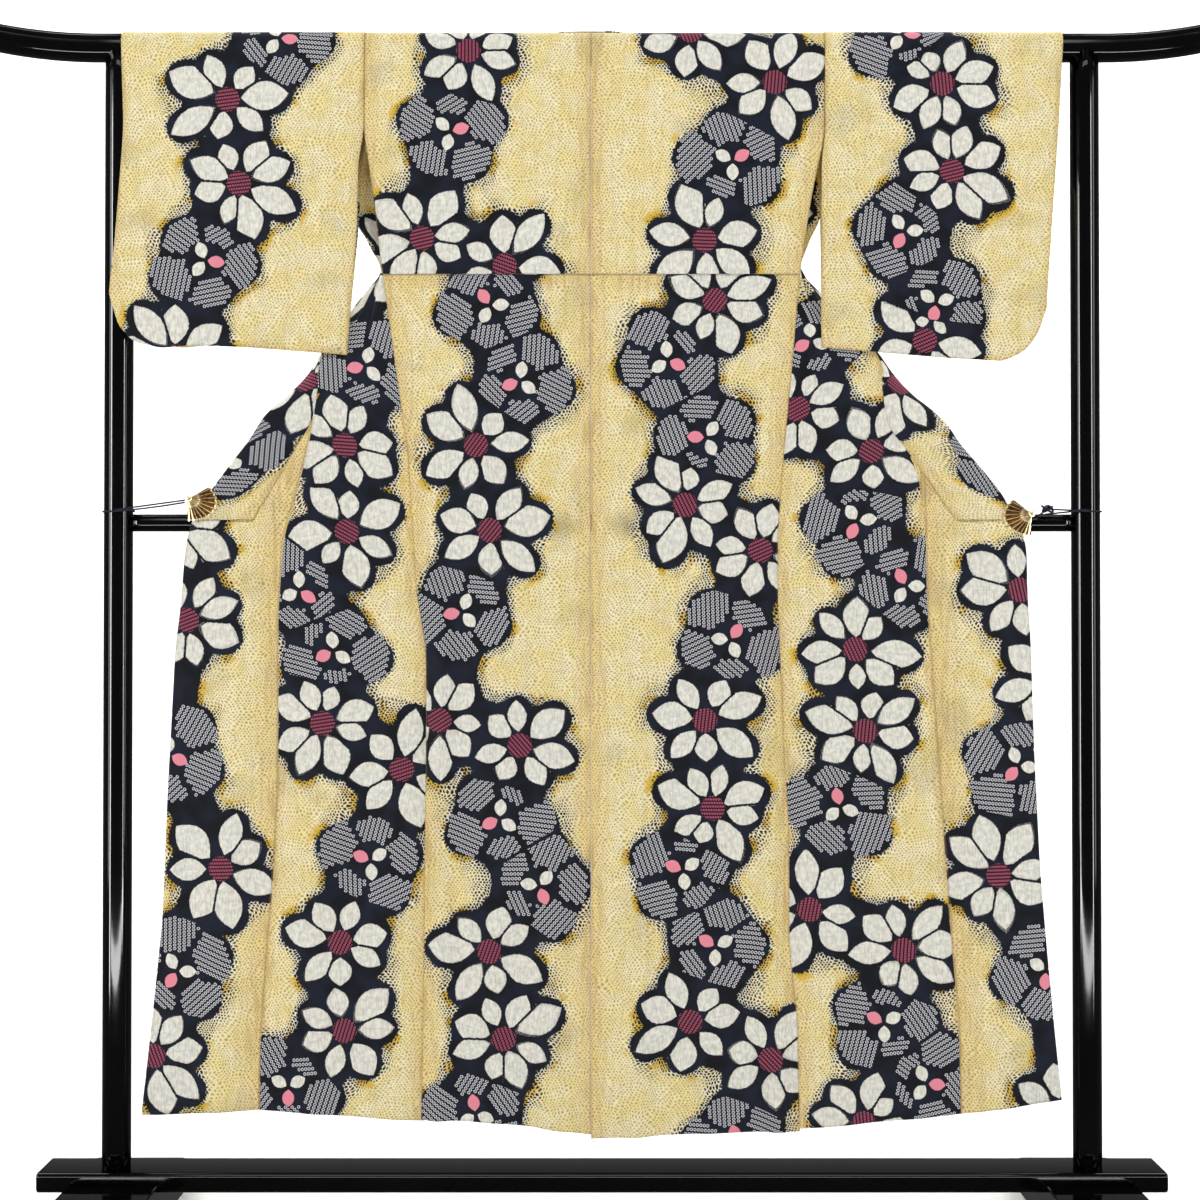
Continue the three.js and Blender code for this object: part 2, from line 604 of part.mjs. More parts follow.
function roundedBox(low, high, r) {
  const shape = new THREE.Shape();
  shape.moveTo(low[0] + r, low[1]);
  shape.lineTo(high[0] - r, low[1]);
  shape.absarc(high[0] - r, low[1] + r, r, -Math.PI / 2, 0, false);
  shape.lineTo(high[0], high[1] - r);
  shape.absarc(high[0] - r, high[1] - r, r, 0, Math.PI / 2, false);
  shape.lineTo(low[0] + r, high[1]);
  shape.absarc(low[0] + r, high[1] - r, r, Math.PI / 2, Math.PI, false);
  shape.lineTo(low[0], low[1] + r);
  shape.absarc(low[0] + r, low[1] + r, r, Math.PI, 1.5 * Math.PI, false);
  return shape;
}

function baseBeam() {
  const section = roundedBox([BEAM.front, BEAM.bottom], [BEAM.back, BEAM.top], BEAM.corner);
  return runAlongX(section, -BEAM.length / 2, BEAM.length / 2);
}

// A foot lies across the beam, which is let into a notch in its top.
function foot(x) {
  const half = FOOT.length / 2;
  const rim = SEAM_GAP;
  const profile = new THREE.Shape();
  profile.moveTo(-half, 0);
  profile.lineTo(half, 0);
  profile.lineTo(half, FOOT.nose);
  profile.quadraticCurveTo(half - FOOT.slope / 5, FOOT.height - 8, half - FOOT.slope, FOOT.height);
  profile.lineTo(BEAM.back + rim, FOOT.height);
  profile.lineTo(BEAM.back + rim, BEAM.bottom - rim);
  profile.lineTo(BEAM.front - rim, BEAM.bottom - rim);
  profile.lineTo(BEAM.front - rim, FOOT.height);
  profile.lineTo(FOOT.slope - half, FOOT.height);
  profile.quadraticCurveTo(FOOT.slope / 5 - half, FOOT.height - 8, -half, FOOT.nose);
  profile.closePath();
  return runAlongX(profile, x - FOOT.width / 2, x + FOOT.width / 2);
}

// Clips and threads

// A clip is a pleated metal fan over the near face of the collar's end, a hub outside the edge
// and a short jaw on the far face. turn: the way the fan opens, in degrees from +X.
const CLIPS = {
  left: { x: -604, z: 1062, turn: -35 },
  right: { x: 628, z: 1040, turn: 199 },
};
const jawNear = wingPlane - BAND - SEAM_GAP; // the collar's near face, with its gap
const jawFar = wingPlane + SEAM_GAP;

function clip({ x, z, turn }) {
  const around = span(-CLIP.spread / 2, CLIP.spread / 2, 2 * CLIP.ribs);
  const reach = [CLIP.hub - 2, 14, CLIP.radius];
  const fan = wall(reach.map((radius) => around.map((degrees, i) => {
    const angle = THREE.MathUtils.degToRad(turn + degrees);
    const crest = (i % 2 ? 1 : -1) * CLIP.pleat * (radius / CLIP.radius);
    const y = jawNear - CLIP.wall - CLIP.pleat - crest;
    return new THREE.Vector3(x + radius * Math.cos(angle), y, z + radius * Math.sin(angle));
  })), CLIP.wall, 1);
  const hub = new THREE.CylinderGeometry(CLIP.hub, CLIP.hub, jawFar - jawNear + 7, 16)
    .translate(x, (jawFar + jawNear) / 2, z);
  const direction = THREE.MathUtils.degToRad(turn);
  const jaw = new THREE.BoxGeometry(CLIP.jaw, 1.6, 9)
    .translate(CLIP.jaw / 2, 0, 0)
    .rotateY(-direction)
    .translate(x, jawFar + 0.8, z);
  return fromManifold(toManifold(fan).add(toManifold(hub)).add(toManifold(jaw)));
}

// The thread runs from the clip's hub to the post, goes round it, and comes back.
function threadLine({ x, z }, postCentre) {
  const outward = Math.sign(postCentre);
  const radius = postRadius + THREAD / 2 + THREAD_CLEAR;
  const start = new THREE.Vector3(x + outward * (CLIP.hub + THREAD), 0, z);
  start.setY((jawNear + jawFar) / 2);
  const height = CROSSBAR_HEIGHT + CROSSBAR_DIAMETER / 2 + 4;
  const points = [start];
  for (const turn of span(0, 1, 12)) {
    const angle = 2 * Math.PI * (turn - 0.25);
    points.push(new THREE.Vector3(
      postCentre + outward * radius * Math.cos(angle),
      radius * Math.sin(angle),
      height + THREAD_PITCH * turn,
    ));
  }
  points.push(start.clone().setZ(z + 2 * THREAD + 1));
  return new THREE.CatmullRomCurve3(points);
}

place("back_left", backPanel(LEFT), cotton());
place("back_right", backPanel(RIGHT), cotton());
place("front_left", frontPanel(LEFT), navyCotton());
place("front_right", frontPanel(RIGHT), navyCotton());
place("okumi_left", overlapPanel(LEFT), cotton());
place("okumi_right", overlapPanel(RIGHT), cotton());
place("collar", collar(), navyCotton());
place("sleeve_left", sleeve(LEFT_SLEEVE), cotton());
place("sleeve_right", sleeve(RIGHT_SLEEVE), cotton());
place("rod", tube(rodLine(), rodRadius, 20, 30), lacquer());
place("post_left", post(-postX), lacquer());
place("post_right", post(postX), lacquer());
place("crossbar", crossbar(), lacquer());
place("base_beam", baseBeam(), lacquer());
place("foot_left", foot(-postX), lacquer());
place("foot_right", foot(postX), lacquer());
for (const [name, spot] of Object.entries(CLIPS)) {
  place(`clip_${name}`, clip(spot), brass());
  place(`thread_${name}`, tube(threadLine(spot, Math.sign(spot.x) * postX), THREAD / 2, 8, 40), thread());
}

export default part;
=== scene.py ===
import math

import bpy
import numpy as np
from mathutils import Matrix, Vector


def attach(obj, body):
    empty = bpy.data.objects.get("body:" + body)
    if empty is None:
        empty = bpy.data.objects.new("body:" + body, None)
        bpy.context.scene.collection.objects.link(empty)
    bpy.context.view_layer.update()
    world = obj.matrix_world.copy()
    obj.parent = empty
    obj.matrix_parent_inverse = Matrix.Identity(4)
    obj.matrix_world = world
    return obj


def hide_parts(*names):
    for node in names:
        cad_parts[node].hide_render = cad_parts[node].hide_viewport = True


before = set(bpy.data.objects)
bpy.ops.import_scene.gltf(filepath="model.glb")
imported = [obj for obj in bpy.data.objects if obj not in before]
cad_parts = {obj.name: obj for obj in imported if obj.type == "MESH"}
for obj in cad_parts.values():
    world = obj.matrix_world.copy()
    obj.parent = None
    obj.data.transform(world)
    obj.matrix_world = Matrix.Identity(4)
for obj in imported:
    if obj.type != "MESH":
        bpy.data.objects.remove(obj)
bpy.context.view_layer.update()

# Room: a pale floor that runs up into a pale backdrop, lit by large soft lamps. The camera stands
# straight in front of the yukata's back, as far off as makes one picture point 1.46 mm of cloth.

MM_PER_M = 1000

def linear(colour):
    """An sRGB hex colour as linear red, green, blue and a full alpha."""
    parts = [int(colour[i:i + 2], 16) / 255 for i in (1, 3, 5)]
    return [p / 12.92 if p <= 0.04045 else ((p + 0.055) / 1.055) ** 2.4 for p in parts] + [1.0]


def add(material, kind, *inputs, out=0, **settings):
    """Adds one node. kind is its type and, after a space, its operation, or a Math node's operation
    alone. inputs fill its sockets in order with links, constants or hex colours, None leaves one
    alone. Gives the output socket."""
    kind, _, operation = (f"Math {kind}" if kind.isupper() else kind).partition(" ")
    node = material.node_tree.nodes.new("ShaderNode" + kind)
    if operation:
        node.operation = operation
    for name, value in settings.items():
        setattr(node, name, value)
    for socket, value in zip(node.inputs, inputs):
        if isinstance(value, bpy.types.NodeSocket):
            material.node_tree.links.new(value, socket)
        elif value is not None:
            socket.default_value = linear(value) if isinstance(value, str) else value
    return node.outputs[out]


def new_material(name, **shader):
    """A material with its shader's own sockets set; a value may also be a hex colour."""
    material = bpy.data.materials.new(name)
    material.use_nodes = True
    sockets = material.node_tree.nodes["Principled BSDF"].inputs
    for socket, value in shader.items():
        name = socket.replace("_", " ")
        sockets[name].default_value = linear(value) if isinstance(value, str) else value
    return material


def finish(material, **links):
    """Links node outputs to the named sockets of the material's shader."""
    sockets = material.node_tree.nodes["Principled BSDF"].inputs
    for name, output in links.items():
        material.node_tree.links.new(output, sockets[name.replace("_", " ")])


def new_mesh(name, points, faces, material):
    """A smooth mesh object of one material from points in mm and faces."""
    mesh = bpy.data.meshes.new(name)
    faces = faces if isinstance(faces, list) else faces.tolist()
    mesh.from_pydata(points.reshape(-1, 3) / MM_PER_M, [], faces)
    mesh.polygons.foreach_set("use_smooth", np.ones(len(mesh.polygons), dtype=bool))
    mesh.materials.append(material)
    piece = bpy.data.objects.new(name, mesh)
    bpy.context.scene.collection.objects.link(piece)
    return piece


def grid_faces(rows, columns, around=False):
    """Quads between neighbouring points of a grid, also from its last column to its first."""
    index = np.arange(rows * columns).reshape(rows, columns)
    if around:
        index = np.concatenate([index, index[:, :1]], axis=1)
    corners = [index[:-1, :-1], index[:-1, 1:], index[1:, 1:], index[1:, :-1]]
    return np.stack(corners, axis=-1).reshape(-1, 4)


paper = new_material("matt_white_paper", Base_Color="#FAFAFA", Roughness=0.95)
mottle = add(paper, "TexNoise", None, None, 3.0)
finish(paper, Base_Color=add(paper, "MixRGB", mottle, "#F8F8F8", "#FCFCFC"))
bend = np.radians(np.linspace(0, 90, 24))
floor_line = np.concatenate([
    [[-7000, 0]],
    np.stack([2600 + 900 * np.sin(bend), 900 - 900 * np.cos(bend)], axis=1),
    [[3500, 6000]],
])
sweep = np.stack(np.broadcast_arrays(
    np.array([-7000, 7000])[:, None], floor_line[:, 0], floor_line[:, 1]), axis=-1)
backdrop = new_mesh("studio_sweep", sweep, grid_faces(2, len(floor_line)), paper)
backdrop.visible_glossy = False

# name, place in m, point it faces, width and height in m, power in W
LAMPS = [
    ("top_front", (0.0, -3.0, 4.0), (0, 0, 0.8), 3.2, 1.8, 100),
    ("side_left", (-3.5, -1.5, 1.3), (0, 0, 0.9), 0.5, 2.4, 40),
    ("side_right", (3.5, -1.5, 1.3), (0, 0, 0.9), 0.5, 2.4, 32),
    ("gloss_left", (-2.9, -2.07, 1.1), (-0.7, 0, 1.0), 0.42, 2.6, 180),
    ("gloss_right", (2.6, -2.25, 1.1), (0.7, 0, 1.0), 0.2, 2.6, 110),
    ("gloss_floor", (0.0, -1.4, 0.15), (0, 0, 1.7), 3.4, 0.12, 45),
    ("backdrop_left", (-2.4, 1.2, 3.6), (-0.6, 3.5, 1.0), 2.4, 1.2, 112),
    ("backdrop_right", (2.4, 1.2, 3.6), (0.6, 3.5, 1.0), 2.4, 1.2, 112),
]
for lamp_name, place, target, width, height, power in LAMPS:
    lamp = bpy.data.lights.new(lamp_name, "AREA")
    lamp.shape = "RECTANGLE"
    lamp.size, lamp.size_y = width, height
    lamp.energy = power
    holder = bpy.data.objects.new(lamp_name, lamp)
    holder.location = place
    aim = Vector(target) - Vector(place)
    holder.rotation_euler = aim.to_track_quat("-Z", "Y").to_euler()
    # the gloss strips only show in polished surfaces
    holder.visible_diffuse = not lamp_name.startswith("gloss")
    bpy.context.scene.collection.objects.link(holder)

world = bpy.data.worlds.new("studio_air")
world.use_nodes = True
world.node_tree.nodes["Background"].inputs["Color"].default_value = linear("#FFFFFF")
world.node_tree.nodes["Background"].inputs["Strength"].default_value = 0.15
bpy.context.scene.world = world
bpy.context.scene.view_settings.view_transform = "Standard"

camera = bpy.data.objects.new("camera", bpy.data.cameras.new("camera"))
camera.data.lens = 60
camera.location = (-0.003, -2.9435, 0.875)
camera.rotation_euler = (math.radians(90.77), 0, 0)
bpy.context.scene.collection.objects.link(camera)
bpy.context.scene.camera = camera

# Back panels: two lengths of tie-dyed cotton from the shoulder to the hem, sewn together down the
# centre back, with a tuck across the waist. They lie over the rod and hang in front of it. Each
# panel is a grid of points on the cloth, made a wall of one layer, with the dyer's design on it.

CLOTH = 1.2
ROD_RADIUS = 21
ROD_HEIGHT = 1730
DRAPE = ROD_RADIUS + 0.7
FROM_RIDGE = 0.0025  # angle at which back and front panels begin, so that they don't touch
SEAM_GAP = 0.15  # half of what is left open at each seam
FALL = 34.1 + ROD_HEIGHT  # length of cloth from the ridge to the floor
TUCK = 1392
TUCK_LENGTH = 60  # cloth taken up by the tuck
BACK_SEAM = -16

# Outlines, left and right, as (z, x) from the top down
SIDE = [
    [(1752, -348.9), (1594, -348.9), (1570, -344), (1513, -336), (1405, -323), (1133, -285),
     (1060, -280), (929, -272), (841, -257), (691, -257), (170, -263)],
    [(1752, 327), (1594, 327), (1570, 320), (1500, 306), (1405, 291), (1231, 276), (1130, 266),
     (1008, 257), (914, 257), (691, 266), (578, 273), (412, 273), (300, 285), (140, 288)],
]
HEM_SIDE = [158, 141]
HEM_CENTRE = [136, 130]
# share of the width from the side edge, width, depth, top and foot of each soft fold
BACK_FOLDS = [(0.1, 34, 9, 1040, 60), (0.42, 60, 5, 1300, 500), (0.78, 48, 10, 760, 40)]


def step(low, high, value):
    """0 below low, 1 above high and a soft rise between."""
    share = np.clip((value - low) / (high - low), 0, 1)
    return share * share * (3 - 2 * share)


def outline(rows, z):
    """x at height z on straight lines between the rows, averaged over 40 mm of height."""
    heights, values = np.array(rows)[::-1].T
    moves = np.linspace(-20, 20, 7)
    return np.mean([np.interp(z + move, heights, values) for move in moves], axis=0)


def folds_at(folds, share, width, z):
    """Sum of soft ridges: depth times a bell across the cloth, faded in from top and foot."""
    lift = 0
    for at, wide, deep, top, foot in folds:
        off = (share - at) * width / (wide / 2)
        fade = np.where(z < foot + 200, 1, 1 - step(top - 200, top, z))
        lift = lift + deep * np.exp(-off * off) * fade
    return lift


def unevenness(across, along, pitch, seed):
    """Smooth noise from 0 to 1: random heights a pitch apart, eased from one to the next."""
    size = 97
    heights = np.random.default_rng(seed).random((size, size))
    u, v = across / pitch + 40.5, along / pitch + 40.5
    i, j = np.floor(u).astype(int), np.floor(v).astype(int)
    fu, fv = step(0, 1, u - i), step(0, 1, v - j)
    low, high = [heights[i % size, k % size] * (1 - fu) + heights[(i + 1) % size, k % size] * fu
                 for k in (j, j + 1)]
    return low * (1 - fv) + high * fv


def crinkle(across, along, seed, calm):
    """How far worn tie-dyed cloth stands proud, in mm: broad waves longer than wide, hand-sized
    dents and small puckers, all scaled by calm, which is 0 where the cloth is held."""
    broad = unevenness(across, along / 3.2, 74, seed) * 3.2
    creases = unevenness(across, along / 9, 16, seed + 3) ** 2 * 2.0
    dents = unevenness(across, along / 1.6, 27, seed + 1) * 1.0
    puckers = unevenness(across, along, 9, seed + 2) * 0.6
    return calm * (broad + creases + dents + puckers)


# A motif is a daisy "D" or a round of lobes "L" with its place on the cloth. Navy joins it to the
# one above, unless its letter is small.
DAISY_REACH, LOBE_REACH = 79, 70
DAISY_DISC, LOBE_DISC = 58, 68  # radius of the navy round the middle of each
SHORTEST_PETAL = 36
PETAL_ROOT = 20.0
MARGIN = 7  # navy shown round a petal
# Half of a petal's width is its length times the first plus the second number
PETAL_HALF = (0.19, 7.3)
# Sine rules by the petal's number: strength, turn from one petal to the next, turn per flower
WIDTH_RULE = (0.14, 3.7, 70.0)
LEAN_RULE = (0.11, 2.4, 40.0)
LINK_REACH = 215  # flowers further apart than this aren't joined


def vine(middle, begin, end, seed):
    """The dyer's repeat where it can't be seen: two daisies, a lobed flower, two daisies and two
    lobed flowers, about 104 mm apart on a line that meanders 38 mm to each side."""
    steps = np.arange(begin, end, 104 if end > begin else -104)
    turns = middle + 38 * np.sin(np.arange(len(steps)) * 1.9 + seed)
    return [("DDLDDLL"[(i + seed) % 7], x, t) for i, (x, t) in enumerate(zip(turns, steps))]


def turned(way, angle):
    """Directions in the plane, each turned by its angle."""
    x, y = way[..., 0], way[..., 1]
    return np.stack([x * np.cos(angle) - y * np.sin(angle), x * np.sin(angle) + y * np.cos(angle)],
                    axis=-1)


def dye(mesh, corners, cloth, motifs, seams, seed):
    """Lays the design on a piece. For each point: its distance from the dyed navy, from the lace
    round it and from the nearest seam. For each corner of a face: its place from the middle of the
    motif that owns the face, turned by the motif's own angle, the motif's kind and chance, half
    the room left to the next motif and how far the face's own petal reaches."""
    rng = np.random.default_rng(seed)
    centre = np.array([[m[1], m[2]] for m in motifs], dtype=float)
    daisy = np.array([m[0] in "Dd" for m in motifs])
    chance = rng.random(len(motifs))
    count = np.where(daisy, np.where(chance > 0.6, 8, 7), 5)
    angle = rng.uniform(0, 2 * math.pi, len(motifs))
    reach = np.where(daisy, DAISY_REACH, LOBE_REACH)
    # petals and lobes: their directions and how far they reach, less where a neighbour is near
    order = np.arange(8)[None]
    bearing = angle[:, None] + 2 * math.pi * order / count[:, None]
    way = np.stack([np.cos(bearing), np.sin(bearing)], axis=-1)
    between = centre[None] - centre[:, None]
    more = (reach[None] - reach[:, None])[:, None]
    ahead = np.einsum("ijd,ikd->ikj", between, way) + more
    free = ((between ** 2).sum(axis=-1)[:, None] - more ** 2) / (2 * np.maximum(ahead, 0.5))
    free += np.where(np.eye(len(motifs), dtype=bool)[:, None], 1e4, 0)
    tip = np.where(daisy[:, None], rng.uniform(66, 94, bearing.shape),
                   rng.uniform(70, 84, bearing.shape))
    tip = np.clip(tip, SHORTEST_PETAL, np.maximum(free.min(axis=-1) - 3, SHORTEST_PETAL))
    # a daisy's petals lean and differ in width by the shader's own rules
    lean, widen = [strength * np.sin(order * per_petal + chance[:, None] * per_flower)
                   for strength, per_petal, per_flower in (LEAN_RULE, WIDTH_RULE)]
    way = turned(way, np.where(daisy[:, None], lean, 0))
    stout = ((tip - PETAL_ROOT) * PETAL_HALF[0] + PETAL_HALF[1]) * (0.98 + widen) + MARGIN
    stout = np.where(daisy[:, None], stout, 30.0)
    # the dyed navy: round every petal and flower and along the vine between them, joined softly
    real = order < count[:, None]
    down = np.argsort(centre[:, 1])
    link = centre[down[1:]] - centre[down[:-1]]
    apart = np.linalg.norm(link, axis=1)
    near = (apart < LINK_REACH) & np.array([m[0].isupper() for m in motifs])[down[1:]]
    start = np.concatenate([np.repeat(centre, count, axis=0), centre, centre[down[:-1]][near]])
    ray = np.concatenate([way[real], np.tile([1.0, 0.0], (len(centre), 1)),
                          (link / apart[:, None])[near]])
    spine = np.concatenate([tip[real] + MARGIN - stout[real], 0 * reach, apart[near]])
    wide = np.concatenate([stout[real], np.where(daisy, DAISY_DISC, LOBE_DISC),
                           np.interp(apart[near], [110, 200], [52, 30])])
    gap = cloth[:, None, :] - start[None]
    run = np.clip((gap * ray).sum(axis=-1), 0, spine)
    edge = np.clip(np.linalg.norm(gap - run[..., None] * ray, axis=-1) - wide, -40, 300)
    navy, zone = [-k * np.log(np.exp(-edge / k).sum(axis=1) + 1e-30) for k in (4, 9)]
    # each face belongs to one motif and one of its petals
    middle = cloth[corners].mean(axis=1)
    owner = np.argmin(np.linalg.norm(middle[:, None] - centre[None], axis=-1) - reach, axis=1)
    local = turned(cloth[corners] - centre[owner][:, None, :], -angle[owner][:, None])
    toward = np.arctan2(local[..., 1].mean(axis=1), local[..., 0].mean(axis=1))
    petal = np.round(toward * count[owner] / (2 * math.pi)).astype(int) % count[owner]
    other = (np.linalg.norm(cloth[:, None] - centre[None], axis=-1) - reach)[corners]
    own = np.take_along_axis(other, owner[:, None, None], axis=-1)[..., 0]
    np.put_along_axis(other, owner[:, None, None], 1e3, axis=-1)
    room = (other.min(axis=-1) - own) / 2
    kind = (np.where(daisy, 0, 1) + chance * 0.98)[owner]
    motif = np.concatenate([local, np.repeat(kind[:, None], 4, axis=1)[..., None]], axis=-1)
    limits = np.stack([room, np.repeat(tip[owner, petal][:, None], 4, axis=1), 0 * room], axis=-1)
    for name, values in (("navy", navy), ("zone", zone), ("seam", seams)):
        mesh.attributes.new(name, "FLOAT", "POINT").data.foreach_set("value", np.tile(values, 2))
    for name, values in (("motif", motif), ("limits", limits)):
        layer = mesh.attributes.new(name, "FLOAT_VECTOR", "CORNER")
        layer.data.foreach_set("vector", values.ravel())


def normals(grid):
    """Unit normals of a grid of points: across its rows and columns."""
    normal = np.cross(np.gradient(grid, axis=1), np.gradient(grid, axis=0))
    return normal / np.linalg.norm(normal, axis=-1, keepdims=True)


def lengths(grid, column):
    """The running length down one column of a grid, and from the first point of each row."""
    along = np.cumsum(np.linalg.norm(np.diff(grid[:, column], axis=0), axis=1))
    across = np.cumsum(np.linalg.norm(np.diff(grid, axis=1), axis=-1), axis=1)
    return np.concatenate([[0], along]), np.pad(across, ((0, 0), (1, 0)))


def wall_faces(rows, columns):
    """Faces of a thin wall whose two sides are grids: the first side turned back, the second side
    as it is, and a strip round the rim."""
    size = rows * columns
    quads = grid_faces(rows, columns)
    index = np.arange(size).reshape(rows, columns)
    rim = np.concatenate([index[0, :-1], index[:-1, -1], index[-1, :0:-1], index[:0:-1, 0]])
    after = np.roll(rim, -1)
    strip = np.stack([after + size, rim + size, rim, after], axis=1)
    return np.concatenate([quads + size, quads[:, ::-1], strip])


def sew(name, inner, cloth, motifs, seams, wall=CLOTH, side=1, seed=1):
    """A piece of cloth as a closed wall, dyed. inner is the grid of points of its inner face. The
    outer face lies a wall's thickness along the grid's normal times side."""
    rows, columns = inner.shape[:2]
    outer = inner + side * wall * normals(inner)
    faces = wall_faces(rows, columns)
    if side < 0:
        faces = faces[:, ::-1]
    piece = new_mesh(name, np.stack([inner, outer]), faces, shibori)
    corners = faces % (rows * columns)
    cloth = cloth.reshape(-1, 2)
    piece.data.uv_layers.new(name="cloth").data.foreach_set("uv", cloth[corners].ravel())
    dye(piece.data, corners, cloth, motifs, seams.ravel(), seed)
    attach(piece, "root")
    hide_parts(name)


# Cotton tie-dyed by kanoko and stitched resist: matt, puckered, cream with a small brick of olive
# dots, navy where it was dipped, and petals, rings and flower centres kept from the dye.
shibori = new_material("shibori_cotton_crinkled", Roughness=0.9, Sheen_Weight=0.06,
                       Sheen_Roughness=0.6, Specular_IOR_Level=0.08)


def s(kind, *inputs, **settings):
    """Adds a node to the cotton."""
    return add(shibori, kind, *inputs, **settings)


on_cloth = s("UVMap", uv_map="cloth")
navy_edge, zone_edge, seam_near = [s("Attribute", out=2, attribute_name=name)
                                   for name in ("navy", "zone", "seam")]
u, room = [s("SeparateXYZ", s("Attribute", out=1, attribute_name=name))
           for name in ("motif", "limits")]
v, number = u.node.outputs[1:]
petal_tip = room.node.outputs[1]
blotch, grain, patches, shade_patches, creeping, mottled = [
    s("TexNoise", on_cloth, None, per_mm, 1.0, noise_dimensions="2D")
    for per_mm in (0.03, 0.55, 0.014, 0.011, 0.026, 0.14)]

# Uneven edges: teeth 4 mm apart, left by the stitches
teeth = s("TexNoise", on_cloth, None, 0.27, 1.5, noise_dimensions="2D")
teeth = s("MULTIPLY_ADD", teeth, 3.6, -1.8)
soft_teeth = s("MULTIPLY", teeth, 0.55)

# Polar place in the motif
flat_place = s("CombineXYZ", u, v, 0.0)
radius = s("VectorMath LENGTH", flat_place, out=1)
bearing = s("ARCTAN2", v, u)
is_lobed = s("GREATER_THAN", number, 1.0)
not_lobed = s("SUBTRACT", 1.0, is_lobed)
chance = s("FRACT", s("DIVIDE", number, 0.98))

# Daisy: seven or eight almonds, each with its own length, width and lean
petal_count = s("ADD", 7.0, s("GREATER_THAN", chance, 0.6))
turns = s("DIVIDE", s("MULTIPLY", bearing, petal_count), 2 * math.pi)
petal_index = s("ROUND", turns)
sector = s("DIVIDE", s("MULTIPLY", s("SUBTRACT", turns, petal_index), 2 * math.pi), petal_count)
petal_number = s("FLOORED_MODULO", petal_index, petal_count)
petal_key = s("CombineXYZ", petal_number, s("MULTIPLY", chance, 57.0), 0.0)
own = s("TexWhiteNoise", petal_key, noise_dimensions="2D")
lean, widen = [
    s("MULTIPLY", s("SINE", s("MULTIPLY_ADD", petal_number, per_petal,
                              s("MULTIPLY", chance, per_flower))), strength)
    for strength, per_petal, per_flower in (LEAN_RULE, WIDTH_RULE)]
leaned = s("SUBTRACT", sector, lean)
petal_out = s("MULTIPLY", radius, s("COSINE", leaned))
petal_side = s("ABSOLUTE", s("MULTIPLY", radius, s("SINE", leaned)))
petal_length = s("SUBTRACT", petal_tip, PETAL_ROOT)
petal_share = s("DIVIDE", s("SUBTRACT", petal_out, PETAL_ROOT), petal_length)
from_middle = s("ABSOLUTE", s("MULTIPLY_ADD", petal_share, 2.0, s("MULTIPLY_ADD", own, 0.2, -1.12)))
widest = s("MULTIPLY", s("MULTIPLY_ADD", petal_length, *PETAL_HALF), s("ADD", widen, 0.98))
petal_half = s("MULTIPLY", widest, s("SUBTRACT", 1.0, s("POWER", from_middle, 2.1)))
off_line = s("SUBTRACT", s("DIVIDE", math.pi, petal_count), s("ABSOLUTE", sector))
inside = s("MINIMUM", s("SUBTRACT", s("MULTIPLY", radius, off_line), 1.7), s("SUBTRACT", room, 1.3))
petal_edge = s("MAXIMUM", s("SUBTRACT", petal_side, petal_half), s("MULTIPLY", inside, -1.0))
petal = s("MapRange", s("ADD", petal_edge, soft_teeth), -0.5, 0.5, 1.0, 0.0)
petal = s("MULTIPLY", petal, not_lobed)
disc = s("MapRange", s("ADD", radius, teeth), 17.2, 18.2, 1.0, 0.0)

# Rows of rings: a frame for the rows, turned anew for each lobe, the cell's middle and its ring
FIFTH = 2 * math.pi / 5
in_fifths = s("ROUND", s("DIVIDE", bearing, FIFTH))
lobe_number = s("MULTIPLY", s("FLOORED_MODULO", in_fifths, 5.0), is_lobed)
row_turn = s("MULTIPLY_ADD", lobe_number, 1.15, s("MULTIPLY_ADD", chance, 5.0, 0.4))
p = s("SeparateXYZ", s("VectorRotate", flat_place, None, None, row_turn, rotation_type="Z_AXIS"))
q = p.node.outputs[1]


def ring_cells(wide, high, ring_radius, half_line):
    """Rings in rows, each row slid along by 0.37 of a ring: the middle of a point's cell, and 1
    where its ring is."""
    row = s("FLOOR", s("DIVIDE", p, wide))
    slid = s("MULTIPLY_ADD", s("FRACT", s("MULTIPLY", row, 0.37)), high, q)
    mid_across = s("MULTIPLY_ADD", row, wide, wide / 2)
    mid_slid = s("MULTIPLY_ADD", s("FLOOR", s("DIVIDE", slid, high)), high, high / 2)
    across = s("MULTIPLY", s("SUBTRACT", p, mid_across), 0.86)
    along = s("SUBTRACT", slid, mid_slid)
    far = s("VectorMath LENGTH", s("CombineXYZ", across, along, 0.0), out=1)
    off_ring = s("ABSOLUTE", s("SUBTRACT", far, ring_radius))
    ring = s("MapRange", off_ring, half_line - 0.35, half_line + 0.35, 1.0, 0.0)
    return s("CombineXYZ", mid_across, s("SUBTRACT", q, along), 0.0), ring


cell_middle, lobe_ring = ring_cells(6.9, 5.0, 1.65, 0.4)
in_motif = s("SeparateXYZ", s("VectorRotate", cell_middle, None, None,
                              s("MULTIPLY", row_turn, -1.0), rotation_type="Z_AXIS"))
cell_radius = s("VectorMath LENGTH", cell_middle, out=1)
cell_fifths = s("DIVIDE", s("ARCTAN2", in_motif.node.outputs[1], in_motif), FIFTH)
lobe_sector = s("MULTIPLY", s("ABSOLUTE", s("SUBTRACT", cell_fifths, in_fifths)), FIFTH)
lobe_line = s("MULTIPLY", cell_radius, s("SUBTRACT", FIFTH / 2, lobe_sector))
bulge = s("SUBTRACT", s("COSINE", s("MULTIPLY", lobe_sector, 2.5)), 1.0)
lobe_outer = s("SUBTRACT", s("MULTIPLY_ADD", bulge, 9.0, petal_tip), cell_radius)
lobe_inner = s("SUBTRACT", cell_radius, 29.0)
